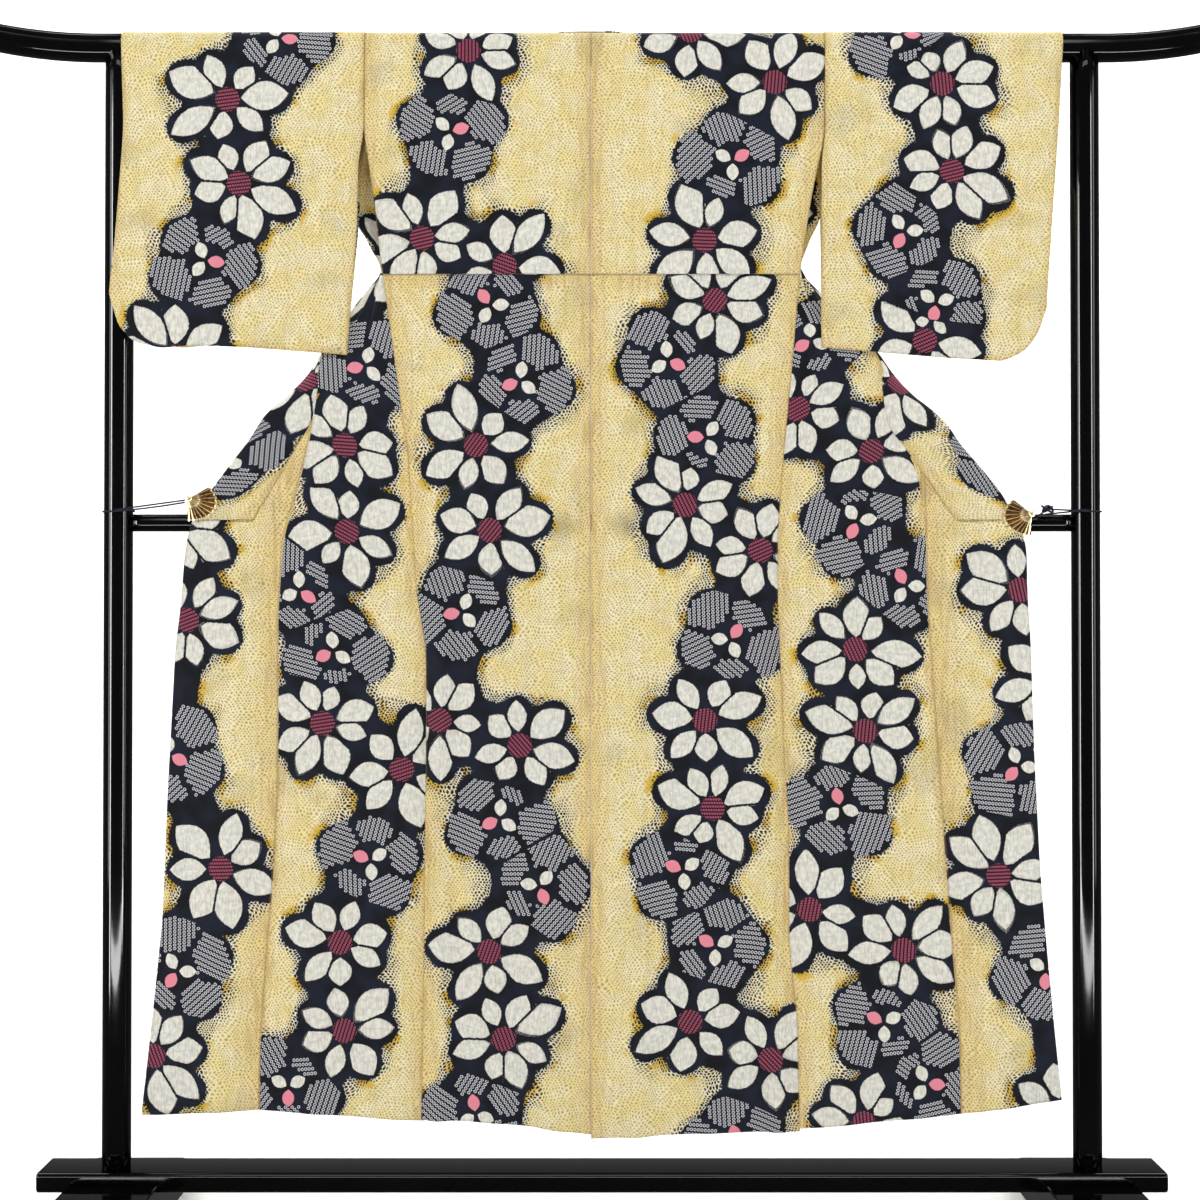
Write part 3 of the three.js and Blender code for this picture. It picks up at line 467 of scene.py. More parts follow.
in_lobe = s("MINIMUM", s("SUBTRACT", lobe_line, 4.2), s("MINIMUM", lobe_outer, lobe_inner))
in_lobe = s("GREATER_THAN", s("MINIMUM", s("SUBTRACT", room, 2.0), in_lobe), 0.0)
lobe_ground = s("MULTIPLY", in_lobe, is_lobed)

# Trefoil: two pale petals and a pink one
three = s("MULTIPLY", bearing, 3 / (2 * math.pi))
three_index = s("ROUND", three)
three_sector = s("MULTIPLY", s("SUBTRACT", three, three_index), 2 * math.pi / 3)
three_out = s("MULTIPLY", radius, s("COSINE", three_sector))
three_side = s("ABSOLUTE", s("MULTIPLY", radius, s("SINE", three_sector)))
three_share = s("DIVIDE", s("SUBTRACT", three_out, 3.5), 25.0)
from_middle = s("ABSOLUTE", s("MULTIPLY_ADD", three_share, 2.0, -1.0))
three_half = s("MULTIPLY", 8.6, s("SUBTRACT", 1.0, s("POWER", from_middle, 2.3)))
three_edge = s("MULTIPLY_ADD", soft_teeth, 0.6, s("SUBTRACT", three_side, three_half))
small_petal = s("MapRange", three_edge, -0.4, 0.4, 1.0, 0.0)
is_pink = s("COMPARE", three_index, 0.0, 0.3)

# Burgundy centres with rows of pink dashes
_, dash = ring_cells(5.2, 3.7, 1.0, 0.5)

# Cream ground: a brick of small tied dots, each dyed more or less, with grain between them
BRICK = (5.2, 4.0)
finer = s("TexNoise", on_cloth, None, 0.2, 1.0, noise_dimensions="2D", out=1)
sway = s("VectorMath MULTIPLY_ADD", blotch.node.outputs[1], (16.0, 16.0, 0.0), on_cloth)
brick = s("SeparateXYZ", s("VectorMath MULTIPLY_ADD", finer, (2.4, 2.4, 0.0), sway))
brick_v = s("DIVIDE", brick.node.outputs[1], BRICK[1])
brick_row = s("FLOOR", brick_v)
brick_u = s("MULTIPLY_ADD", s("FLOORED_MODULO", brick_row, 2.0), BRICK[0] / 2, brick)
brick_u = s("DIVIDE", brick_u, BRICK[0])
cell_u, cell_v = [s("MULTIPLY", s("SUBTRACT", s("FRACT", at), 0.5), size)
                  for at, size in zip((brick_u, brick_v), BRICK)]
dot_far = s("VectorMath LENGTH", s("CombineXYZ", cell_u, cell_v, 0.0), out=1)
cell_key = s("CombineXYZ", s("FLOOR", brick_u), brick_row, 0.0)
cell_chance = s("TexWhiteNoise", cell_key, noise_dimensions="2D")
spread = s("MapRange", patches, 0.5, 0.66, 1.0, 5.0)
uneven = s("MULTIPLY_ADD", teeth, 2.2, s("MULTIPLY_ADD", cell_chance, 5.0, -2.5))
soaked = s("MapRange", s("DIVIDE", s("ADD", zone_edge, uneven), spread), -5.0, 4.5, 1.0, 0.0)
dot_size = s("MULTIPLY_ADD", soaked, 0.9, s("MULTIPLY_ADD", cell_chance, 0.5, 1.9))
dot_edge = s("SUBTRACT", s("MULTIPLY_ADD", grain, 1.8, dot_far), dot_size)
dot = s("MapRange", dot_edge, -0.45, 0.45, 1.0, 0.0)
blotted = s("MapRange", blotch, 0.35, 0.65, 0.0, 1.0)
# golden tone by the seams and across the tuck: partly the seam allowances showing through the thin
# cotton, partly painted shade of the folds beside them
seam_tone_and_shade = s("MULTIPLY", s("MapRange", seam_near, 3.0, 28.0, 1.0, 0.0),
           s("MapRange", blotch, 0.35, 0.62, 0.45, 1.0))
# painted shade in streaks down the cloth along its crinkles, stronger by the seams, and the fine
# lines of the petals
crease_shade_noise, lines = [
    s("TexNoise", s("VectorMath MULTIPLY", on_cloth, (1.0, stretch, 0.0)), None, per_mm, 1.0,
      noise_dimensions="2D")
    for stretch, per_mm in ((0.09, 0.16), (0.16, 0.45))]
painted_crease_shade = s("MULTIPLY", s("MapRange", crease_shade_noise, 0.48, 0.68, 0.0, 0.5),
             s("MULTIPLY_ADD", seam_tone_and_shade, 0.8, 0.25))
# soft grey patches of painted shade, placed by noise, and two grey patches of painted shade at the
# waist, at the crossbar's height, for the dents in the cloth there
painted_shade = s("MULTIPLY", s("MapRange", shade_patches, 0.6, 0.74, 0.0, 0.22),
         s("MapRange", grain, 0.35, 0.6, 0.5, 1.0))
drawn_in = s("VectorMath MULTIPLY", s("TexCoord", out=3), (0.7, 0.5, 1.0))
dent_shade_grain = s("MapRange", grain, 0.3, 0.6, 0.6, 1.0)
# painted shade of the two dents at the waist
for dent_shade_x, dent_shade_z in ((-0.063, 1.022), (0.039, 1.025)):
    off = s("VectorMath DISTANCE", drawn_in, (0.7 * dent_shade_x, -0.013, dent_shade_z), out=1)
    dent_shade = s("MULTIPLY", s("MapRange", off, 0.004, 0.027, 0.62, 0.0), dent_shade_grain)
    painted_shade = s("MAXIMUM", painted_shade, dent_shade)
# yellow stains where the bath crept past the ties
stain = s("MapRange", s("MULTIPLY_ADD", teeth, 2.0, navy_edge), 2.0, 14.0, 1.0, 0.0)
stain = s("MULTIPLY", stain, s("MapRange", creeping, 0.57, 0.62, 0.0, 0.95))
cream = s("MixRGB", blotted, "#F5E7AE", "#FAF2D0")
for mask, colour in (
        (s("MapRange", grain, 0.45, 0.66, 0.0, 0.6), "#EACB6C"),
        (s("MULTIPLY", seam_tone_and_shade, 0.55), "#E0B86A"),
        (s("MULTIPLY", dot, 0.68), "#927A2C"),
        (painted_crease_shade, "#BF9E50"),
        (painted_shade, "#857858"),
        (stain, "#D8B12A")):
    cream = s("MixRGB", mask, cream, colour)

# Between the cream and the navy the dots are navy too, in a paler net
net = s("MixRGB", s("MapRange", soaked, 0.1, 0.8, 0.0, 0.8), cream, "#E9E6D8")
navy_dot = s("MULTIPLY", dot, s("MapRange", soaked, 0.02, 0.3, 0.0, 1.0))
lace = s("MixRGB", navy_dot, s("MixRGB", stain, net, "#D8B12A"), "#10131F")

# Navy, blotted a little
navy = s("MixRGB", blotted, "#0B0D16", "#151B2A")
navy_mask = s("MapRange", s("MULTIPLY_ADD", teeth, 1.6, navy_edge), -0.5, 0.8, 1.0, 0.0)
design = s("MixRGB", navy_mask, lace, navy)

# Flowers over the navy
vein_part = s("MapRange", s("ABSOLUTE", s("SUBTRACT", petal_share, 0.5)), 0.18, 0.3, 1.0, 0.0)
vein = s("MULTIPLY", s("MapRange", petal_side, 0.2, 1.4, 0.35, 0.0), vein_part)
drawn_lines = s("MAXIMUM", vein, s("MapRange", lines, 0.5, 0.68, 0.0, 0.36))
white = s("MixRGB", s("MapRange", mottled, 0.35, 0.65, 0.0, 1.0), "#D9D7CB", "#ECE9DE")
white = s("MixRGB", drawn_lines, white, "#A9A199")
for mask, colour in (
        (petal, white),
        (s("MULTIPLY", disc, not_lobed), s("MixRGB", dash, "#1A060D", "#AE566F")),
        (lobe_ground, "#0E111C"),
        (s("MULTIPLY", lobe_ground, lobe_ring), "#EDEDF2"),
        (s("MULTIPLY", small_petal, is_lobed), s("MixRGB", is_pink, white, "#E58B9A")),
        # stitch line beside each seam
        (s("MapRange", s("ABSOLUTE", s("SUBTRACT", seam_near, 0.8)), 0.2, 1.0, 0.4, 0.0),
         "#94703A")):
    design = s("MixRGB", mask, design, colour)

# Relief in mm: domes of the ground, ridges across the petals, knots of the rings
petal_relief = s("MULTIPLY_ADD", lines, -1.6, s("MapRange", petal_edge, -14.0, 0.0, 0.9, 0.0))
ground_relief = s("MULTIPLY_ADD", grain, 1.1, s("MapRange", dot_far, 0.3, 2.6, 0.8, 0.0))
height = s("MixRGB", navy_mask, ground_relief, s("MULTIPLY", mottled, 0.4))
height = s("MixRGB", petal, height, petal_relief)
height = s("MixRGB", lobe_ground, height, s("MULTIPLY", lobe_ring, 0.5))
finish(shibori, Base_Color=design, Normal=s("Bump", 0.6, 0.0012, None, height))

BACK_MOTIFS = [
    [("D", -196, 1720), ("L", -222, 1600), ("D", -263, 1443), ("D", -142, 1403),
     ("L", -164, 1345), ("L", -120, 1235), ("D", -184, 1140), ("D", -164, 1016), ("L", -204, 897),
     ("D", -237, 739), ("D", -120, 702), ("L", -149, 596), ("L", -91, 498), ("D", -164, 403),
     ("D", -143, 276), ("L", -184, 168), ("L", -205, 1838)],
    [("D", 253, 1673), ("L", 191, 1557), ("D", 150, 1440), ("D", 165, 1352), ("L", 96, 1265),
     ("L", 152, 1151), ("D", 121, 1053), ("D", 231, 987), ("L", 187, 856), ("D", 150, 739),
     ("D", 161, 611), ("L", 118, 520), ("L", 165, 410), ("D", 128, 301), ("D", 245, 246),
     ("L", 197, 124), ("D", 130, 1750), ("L", 160, 1848)],
]
# the tuck's lip from the top down: height over the tuck, cloth taken up, how far it stands off
LIP = [(0.2, 0, 3.0), (-0.6, 3, 2.7), (-0.6, 20, 1.3), (0.4, 45, 0.4), (-1.5, TUCK_LENGTH, 0)]

for hand, name in enumerate(("back_left", "back_right")):
    sign = (-1, 1)[hand]
    seam_x = BACK_SEAM + sign * SEAM_GAP
    share = np.linspace(0, 1, 74)[None, :]
    # heights down the panel: over the rod by angle, then down, with the tuck's lip turned up
    turn_angles = np.linspace(FROM_RIDGE, math.pi / 2, 10)
    upper = np.linspace(ROD_HEIGHT, TUCK + 3, 72)[1:]
    lower = np.linspace(TUCK - 4, 0, 272)
    lip_z, lip_cloth, lip_stand = np.array(LIP).T[..., None]
    z = np.concatenate([ROD_HEIGHT + DRAPE * np.cos(turn_angles), upper, TUCK + lip_z[:, 0], lower])
    z = np.repeat(z[:, None], share.size, axis=1)
    first, lip = len(turn_angles), len(turn_angles) + len(upper)
    below = lip + len(LIP)
    foot = HEM_SIDE[hand] + (HEM_CENTRE[hand] - HEM_SIDE[hand]) * share ** 2
    z[below:] = TUCK - 4 + (z[below:] - TUCK + 4) * (TUCK - 4 - foot) / (TUCK - 4)
    length = FALL - z
    length[:first] = DRAPE * turn_angles[:, None]
    length[lip:below] = FALL - TUCK + lip_cloth
    length[below:] += TUCK_LENGTH
    side_x = outline(SIDE[hand], z)
    x = side_x * (1 - share) + seam_x * share
    width = np.abs(side_x - seam_x)
    across = np.minimum(share, 1 - share) * width
    calm = step(0, 60, ROD_HEIGHT - z) * (0.25 + 0.75 * step(0, 30, across))
    calm = calm * (1 - 0.9 * np.exp(-((z - TUCK) / 9) ** 2))
    lift = folds_at(BACK_FOLDS, share, width, z) + crinkle(x, z, 11 + hand, calm)
    lift = lift - 0.7 * np.exp(-across / 3) * step(20, 90, ROD_HEIGHT - z)
    stand = np.where(np.arange(len(z)) < lip, 3.0, 0)[:, None] * step(60, 300, ROD_HEIGHT - z)
    stand[lip:below] = lip_stand
    y = -DRAPE - np.maximum(lift, -0.4) - stand
    y[:first] = -DRAPE * np.sin(turn_angles)[:, None]
    inner = np.stack([x, y, z], axis=-1)
    cloth = np.stack([x, length], axis=-1)
    motifs = [(kind, mx, FALL - mz + TUCK_LENGTH * (mz < TUCK - 30))
              for kind, mx, mz in BACK_MOTIFS[hand]]
    seams = np.minimum(across, 3 + 1.2 * np.abs(z - TUCK + 9))
    sew(name, inner, cloth, motifs, seams, side=-sign, seed=21 + hand)

# Front panels: each runs on from a back panel over the shoulder. Below the armhole it is gathered
# and turned over, so that the wing drawn out to the post shows its right side as well.

WING = -DRAPE + CLOTH + 0.7
NECK_HALF = 82
OKUMI = [
    [(1183, -421), (1104, -438), (1002, -466), (900, -473), (637, -473), (523, -479), (266, -498),
     (171, -499)],
    [(1176, 416), (1152, 440), (1111, 460), (1032, 473), (914, 475), (746, 486), (523, 502),
     (412, 510), (300, 520), (165, 523)],
]
HEM_WING = [156, 144]
HEM_OKUMI = [172, 166]
# side x left and right, y, z, then seam x left and right, y, z, from the rod to the wing
TURN = [
    (-348.8, 326.9, 21.7, 1730, -98, 66, 21.7, 1730),
    (-348.7, 326.8, 22.5, 1660, -147, 118, 24, 1650),
    (-353, 328, 24, 1596, -207, 178, 28, 1575),
    (-368, 326, 16.5, 1495, -268, 238, 32, 1490),
    (-345, 305, -4, 1443, -303, 272, 32, 1445),
    (-322, 288, WING, 1398, -324, 293, 20, 1402),
    (-313, 281, WING, 1350, -362, 338, 2, 1348),
    (-304, 274, WING, 1290, -410, 404, -12, 1274),
]
WING_FOLDS = [(0.22, 60, 5, 900, 40), (0.7, 52, 4, 1150, 300)]
FRONT_MOTIFS = [
    [("D", -306, 1404), ("L", -346, 1257), ("D", -375, 1140), ("D", -372, 1016), ("L", -441, 929),
     ("L", -393, 841), ("D", -409, 736), ("D", -292, 669), ("L", -339, 535), ("D", -383, 418),
     ("D", -375, 289), ("L", -456, 206)],
    [("L", 306, 1295), ("D", 286, 1195), ("D", 394, 1130), ("L", 374, 1031), ("L", 442, 936),
     ("D", 369, 844), ("D", 384, 724), ("L", 347, 611), ("D", 301, 465), ("D", 439, 403),
     ("L", 410, 298), ("L", 472, 213), ("D", 384, 122)],
]


def through(points, at):
    """Smooth curve through points at whole numbers of at: the Catmull-Rom blend of the four
    nearest points, with the ends carried on in a straight line."""
    points = np.asarray(points, dtype=float)
    points = np.concatenate([2 * points[:1] - points[1:2], points, 2 * points[-1:] - points[-2:-1]])
    at = np.asarray(at, dtype=float)
    i = np.clip(np.floor(at).astype(int), 0, len(points) - 4)
    f = (at - i).reshape((-1,) + (1,) * (points.ndim - 1))
    a, b, c, d = [points[i + ahead] for ahead in range(4)]
    return 0.5 * (2 * b + (c - a) * f + (2 * a - 5 * b + 4 * c - d) * f ** 2
                  + (3 * b - a - 3 * c + d) * f ** 3)


def nearest(grid, x, z, away=0):
    """Row, column and distance of the grid's point nearest to x and z, seen from the front."""
    off = np.hypot(grid[..., 0] - x, grid[..., 2] - z) + away
    row, column = np.unravel_index(np.argmin(off), off.shape)
    return row, column, off[row, column]


SHOWN_FROM = 100  # the first row of a front panel that can show below the sleeve

for hand, name in enumerate(("front_left", "front_right")):
    sign = (-1, 1)[hand]
    share = np.linspace(0, 1, 58)[None, :]
    point_z = OKUMI[hand][0][0]
    turn_angles = np.linspace(FROM_RIDGE, math.pi / 2, 10)[:-1, None]
    shoulder = SIDE[hand][0][1] * (1 - share) + (BACK_SEAM + sign * NECK_HALF) * share
    over = np.stack(np.broadcast_arrays(shoulder, DRAPE * np.sin(turn_angles),
                                        ROD_HEIGHT + DRAPE * np.cos(turn_angles)), axis=-1)

    def wing(level, share):
        """Place on the wing, level from 0 at its top to 1 at its hem."""
        top = point_z + 20 - 20 * share
        foot = HEM_WING[hand] + (HEM_OKUMI[hand] - HEM_WING[hand]) * share
        z = top + (foot - top) * level
        inner_x = outline(SIDE[hand], z) - sign * 4
        outer_x = outline(OKUMI[hand], z) - sign * SEAM_GAP
        x = inner_x + (outer_x - inner_x) * share
        return np.stack(np.broadcast_arrays(x, WING, z), axis=-1)

    table = np.array(TURN)
    sides, sewn = table[:, [hand, 2, 3]], table[:, [4 + hand, 6, 7]]
    ends = wing(np.array([[0.0], [0.06]]), np.array([[0.0, 1.0]]))
    k = np.linspace(0, 8, 150)
    side_line, seam_line = [through(np.concatenate([edge, ends[:, column]]), k)[:, None]
                            for column, edge in enumerate((sides, sewn))]
    turned_part = side_line + (seam_line - side_line) * share[..., None]
    gather = np.exp(-((k[:, None] - 5.2) / 1.9) ** 2) * np.sin(3 * math.pi * share) ** 2
    turned_part[..., 0] -= sign * 9 * gather
    wings = wing(np.linspace(0, 1, 226)[1:, None], share)
    inner = np.concatenate([over, turned_part, wings])
    run, reach = lengths(inner, share.size // 2)
    width = reach[:, -1:]
    on_wing = len(over) + len(turned_part)
    z = inner[..., 2]
    along = np.broadcast_to(run[:, None], reach.shape).copy()
    wing_start = run[on_wing - 1] + point_z + 10
    along[on_wing:] = wing_start - z[on_wing:]
    blend = step(6.6, 8, k)[:, None]
    level_along = wing_start - z[len(over):on_wing]
    along[len(over):on_wing] += (level_along - along[len(over):on_wing]) * blend
    cloth = np.stack([reach, along], axis=-1)
    # soft folds and crinkles push towards the outer face
    normal = -sign * normals(inner)
    near_edge = np.minimum(reach, width - reach)
    calm = step(0, 26, near_edge) * step(10, 70, along)
    lift = crinkle(reach * 1.3, along, 31 + hand, calm)
    lift[on_wing:] += (folds_at(WING_FOLDS, share, width, z) * step(0, 0.12, share))[on_wing:]
    inner = inner + normal * lift[..., None]
    local = []
    for kind, mx, mz in FRONT_MOTIFS[hand]:
        row, column, _ = nearest(inner[SHOWN_FROM:], mx, mz)
        row += SHOWN_FROM
        beyond = sign * (mx - inner[row, column, 0]) if column == 0 else 0
        local.append((kind, reach[row, column] + beyond, along[row, column]))
    hidden = vine(120, local[0][2] - 112, -60, 2 + hand)
    seams = np.minimum(reach, 2 * (width - reach))
    sew(name, inner, cloth, local + hidden, seams, side=-sign,
        seed=33 + hand)

# Overlap panels: half-width cloths that widen each front. They come to a point where the collar
# crosses the seam, and hang free at the outer edge below the collar's end.

OUTER = [
    [(1183, -488), (1132, -528), (1082, -566), (1038, -598), (994, -609), (902, -616), (847, -623),
     (635, -634), (450, -641), (300, -656), (165, -671)],
    [(1176, 494), (1124, 539), (1063, 590), (1002, 620), (914, 622), (859, 626), (691, 631),
     (523, 639), (412, 648), (272, 661), (185, 670)],
]
HEM_OUTER = [164, 186]
COLLAR_END = 1031
COLLAR_END_WIDTH = 88
# shares of the seam whose rows end along the collar, and along or round its end
ALONG_COLLAR, ROUND_END = 0.24, 0.36
OKUMI_MOTIFS = [
    [("D", -622, 1022), ("D", -606, 885), ("L", -631, 688), ("D", -555, 523), ("L", -619, 374),
     ("D", -653, 250)],
    [("D", 610, 929), ("L", 607, 673), ("D", 577, 513), ("L", 647, 374), ("D", 655, 800),
     ("D", 669, 168)],
]

for hand, name in enumerate(("okumi_left", "okumi_right")):
    sign = (-1, 1)[hand]
    point_z, point_x = OKUMI[hand][0]
    end_x = float(outline(OUTER[hand], np.array(COLLAR_END)))
    # rows start evenly down the seam; the first end along the collar, the rest at the free edge
    level = np.linspace(0, 1, 236)
    seam_z = point_z + (HEM_OKUMI[hand] - point_z) * level
    seam_x = outline(OKUMI[hand], seam_z) + sign * SEAM_GAP
    down = np.clip((level - ROUND_END) / (1 - ROUND_END), 0, 1)
    free_z = np.where(level < ALONG_COLLAR,
                      point_z - 5 + (COLLAR_END - point_z + 5) * level / ALONG_COLLAR,
                      COLLAR_END + (HEM_OUTER[hand] - COLLAR_END) * down)
    free_x = np.interp(level, [0, ALONG_COLLAR, ROUND_END],
                       [point_x + sign * 4, end_x - sign * COLLAR_END_WIDTH, end_x])
    free_x = np.where(level > ROUND_END, outline(OUTER[hand], free_z), free_x)
    share = np.linspace(0, 1, 40)[None, :]
    x = seam_x[:, None] * (1 - share) + free_x[:, None] * share
    z = seam_z[:, None] * (1 - share) + free_z[:, None] * share
    reach = np.abs(x - seam_x[:, None])
    row_length = np.hypot(free_x - seam_x, free_z - seam_z)[:, None]
    calm = step(0, 24, np.minimum(reach, row_length * (1 - share)))
    # one soft fold hangs 62 mm out from the seam
    hang = 5 * np.exp(-((reach - 62) / 26) ** 2) * (1 - step(760, 980, z)) * calm
    y = WING - crinkle(x, z, 51 + hand, calm) - hang
    inner = np.stack([x, y, z], axis=-1)
    cloth = np.stack([x, FALL - z], axis=-1)
    motifs = [(kind, mx, FALL - mz) for kind, mx, mz in OKUMI_MOTIFS[hand]]
    sew(name, inner, cloth, motifs, 0.65 * reach, side=-sign,
        seed=55 + hand)

# Collar: one long band, folded in half along its length and sewn over the raw edge from one
# overlap panel up round the neck and down the other. It rolls over once on the way to each wing.

BAND = 2.4
COLLAR_WIDTH = 58
# seam x left and right, y, z, then folded edge x left and right, y, z, from the neck to the wing
COLLAR = [
    (-135, 106, 25.2, 1658, -84, 55, 27, 1646),
    (-203, 174, 29, 1573, -160, 131, 33, 1548),
    (-266, 236, 33.5, 1486, -236, 206, 55, 1468),
    (-303, 272, 34, 1440, -290, 258, 78, 1428),
    (-327, 296, 22, 1398, -322, 291, 74, 1392),
    (-365, 341, 4, 1344, -368, 345, 56, 1342),
    (-411.5, 405, -10.5, 1272, -420, 416, 34, 1262),
    (-416.5, 410.5, -16.5, 1226, -462, 458, -6, 1213),
]
ARM_MOTIFS = [("D", -431, 1234), ("L", -543, 1127), ("D", 434, 1230), ("l", 588, 1130)]
# x and z of each clip's hub, and the way its fan points, in degrees
CLIPS = {"left": (-604, 1062, -32), "right": (628, 1040, 205)}


def on_far_side(x, drop):
    """The place on the far side of the rod a length of cloth below the ridge."""
    radius = DRAPE + CLOTH + 1.8
    angle = np.minimum(drop / radius, math.pi / 2)
    z = ROD_HEIGHT + radius * np.cos(angle) - np.maximum(drop - radius * math.pi / 2, 0)
    return np.stack(np.broadcast_arrays(x, radius * np.sin(angle), z), axis=-1)


share = np.linspace(0, 1, 5)
arms = []
for hand, sign in enumerate((-1, 1)):
    table = np.array(COLLAR)
    sewn, folded = table[:, [hand, 2, 3]], table[:, [4 + hand, 6, 7]]
    point_z, point_x = OKUMI[hand][0]
    end_x = float(outline(OUTER[hand], np.array(COLLAR_END)))
    free_z = point_z + (COLLAR_END - point_z) * share + 0.3
    first_x = point_x + sign * 4
    sewn_x = first_x + (end_x - sign * COLLAR_END_WIDTH - first_x) * share
    sewn_z = point_z - 5 + (COLLAR_END - point_z + 5) * share + 0.6
    level = WING + 0 * share
    sewn = np.concatenate([sewn, np.stack([sewn_x, level, sewn_z], axis=1)])
    folded = np.concatenate(
        [folded, np.stack([outline(OUTER[hand], free_z), level, free_z], axis=1)])
    arms.append(sewn[:, None] + (folded - sewn)[:, None] * share[None, :, None])
t = np.linspace(-1, 1, 13)[:, None]
half = (NECK_HALF - 2) * (1 - share) + (NECK_HALF - COLLAR_WIDTH) * share
drop = (3 + 62 * np.abs(t) ** 3) * (1 - share) + (COLLAR_WIDTH + 24 * t ** 2) * share
neck = on_far_side(BACK_SEAM + half * np.sin(math.pi / 2 * t), drop)
net = np.concatenate([arms[0][::-1], neck, arms[1]])
rows = through(net, np.linspace(0, len(net) - 1, 520))
inner = through(rows.transpose(1, 0, 2), np.linspace(0, 4, 19)).transpose(1, 0, 2)
run, reach = lengths(inner, inner.shape[1] // 2)
run = (run - run[-1] / 2)[:, None]
near_edge = np.minimum(reach, reach[:, -1:] - reach)
puff = 1.6 * np.sqrt(np.clip(near_edge / 18, 0, 1))
puff = puff + 0.5 * crinkle(reach, run, 61, step(0, 12, near_edge))
# flat on the overlap panels under the clips and over the raw edge
from_clip = np.min([np.hypot(inner[..., 0] - hub_x, inner[..., 2] - hub_z)
                    for hub_x, hub_z, _ in CLIPS.values()], axis=0)
puff = puff * step(30, 120, np.abs(run)) * step(42, 85, from_clip)
inner = inner - normals(inner) * puff[..., None]
cloth = np.stack(np.broadcast_arrays(reach, run), axis=-1)
motifs = []
for kind, mx, mz in ARM_MOTIFS:
    row, column, off = nearest(inner, mx, mz, np.where(np.abs(run) < 400, 1e4, 0))
    beyond = off if column == inner.shape[1] - 1 else 0
    motifs.append((kind, reach[row, column] + beyond, run[row, 0]))
motifs += vine(30, motifs[0][2] + 104, motifs[2][2] - 60, 3)
length = round(2 * run[-1, 0] / MM_PER_M, 2)
sew("collar", inner, cloth, motifs, reach + 4,
    wall=BAND, side=-1, seed=66)

# Sleeves: each is one cloth folded over the shoulder line, closed along its bottom and the lower
# part of the cuff, and open above that and all along the body side. It hangs over the rod.

SLEEVES = [
    {
        "cuff": [(1752, -706), (1608, -701), (1527, -707), (1425, -715), (1370, -722),
                 (1262, -722)],
        "body": [(1752, -349.2), (1592, -349.2), (1568, -357), (1460, -359), (1272, -374)],
        "bottom": [(-722, 1370), (-712, 1323), (-700, 1304), (-682, 1290), (-645, 1282),
                   (-601, 1286), (-520, 1283), (-374, 1272), (-340, 1270)],
        "far_cuff": -684,
        "motifs": [("L", -474, 1739), ("D", -548, 1647), ("D", -531, 1524), ("L", -580, 1411),
                   ("D", -624, 1270)],
    },
    {
        "cuff": [(1752, 677), (1608, 669), (1498, 661), (1352, 651), (1262, 650)],
        "body": [(1752, 327.3), (1592, 327.3), (1568, 322), (1272, 321)],
        "bottom": [(290, 1285), (321, 1283), (500, 1268), (588, 1263), (618, 1277), (634, 1296),
                   (646, 1322), (651, 1352)],
        "far_cuff": None,
        "motifs": [("D", 498, 1670), ("D", 512, 1542), ("L", 442, 1454), ("L", 488, 1348),
                   ("D", 472, 1294), ("L", 440, 1746)],
    },
]
CUFF_OPEN = 1519
CLOSED = -19.9 - CLOTH  # y of the far layer where it lies on the near one
# share of the height above the bottom, and how far the far layer lies back there
BAG = [(0, 0), (0.2, 0.13), (0.4, 0.42), (0.62, 0.86), (1, 1)]

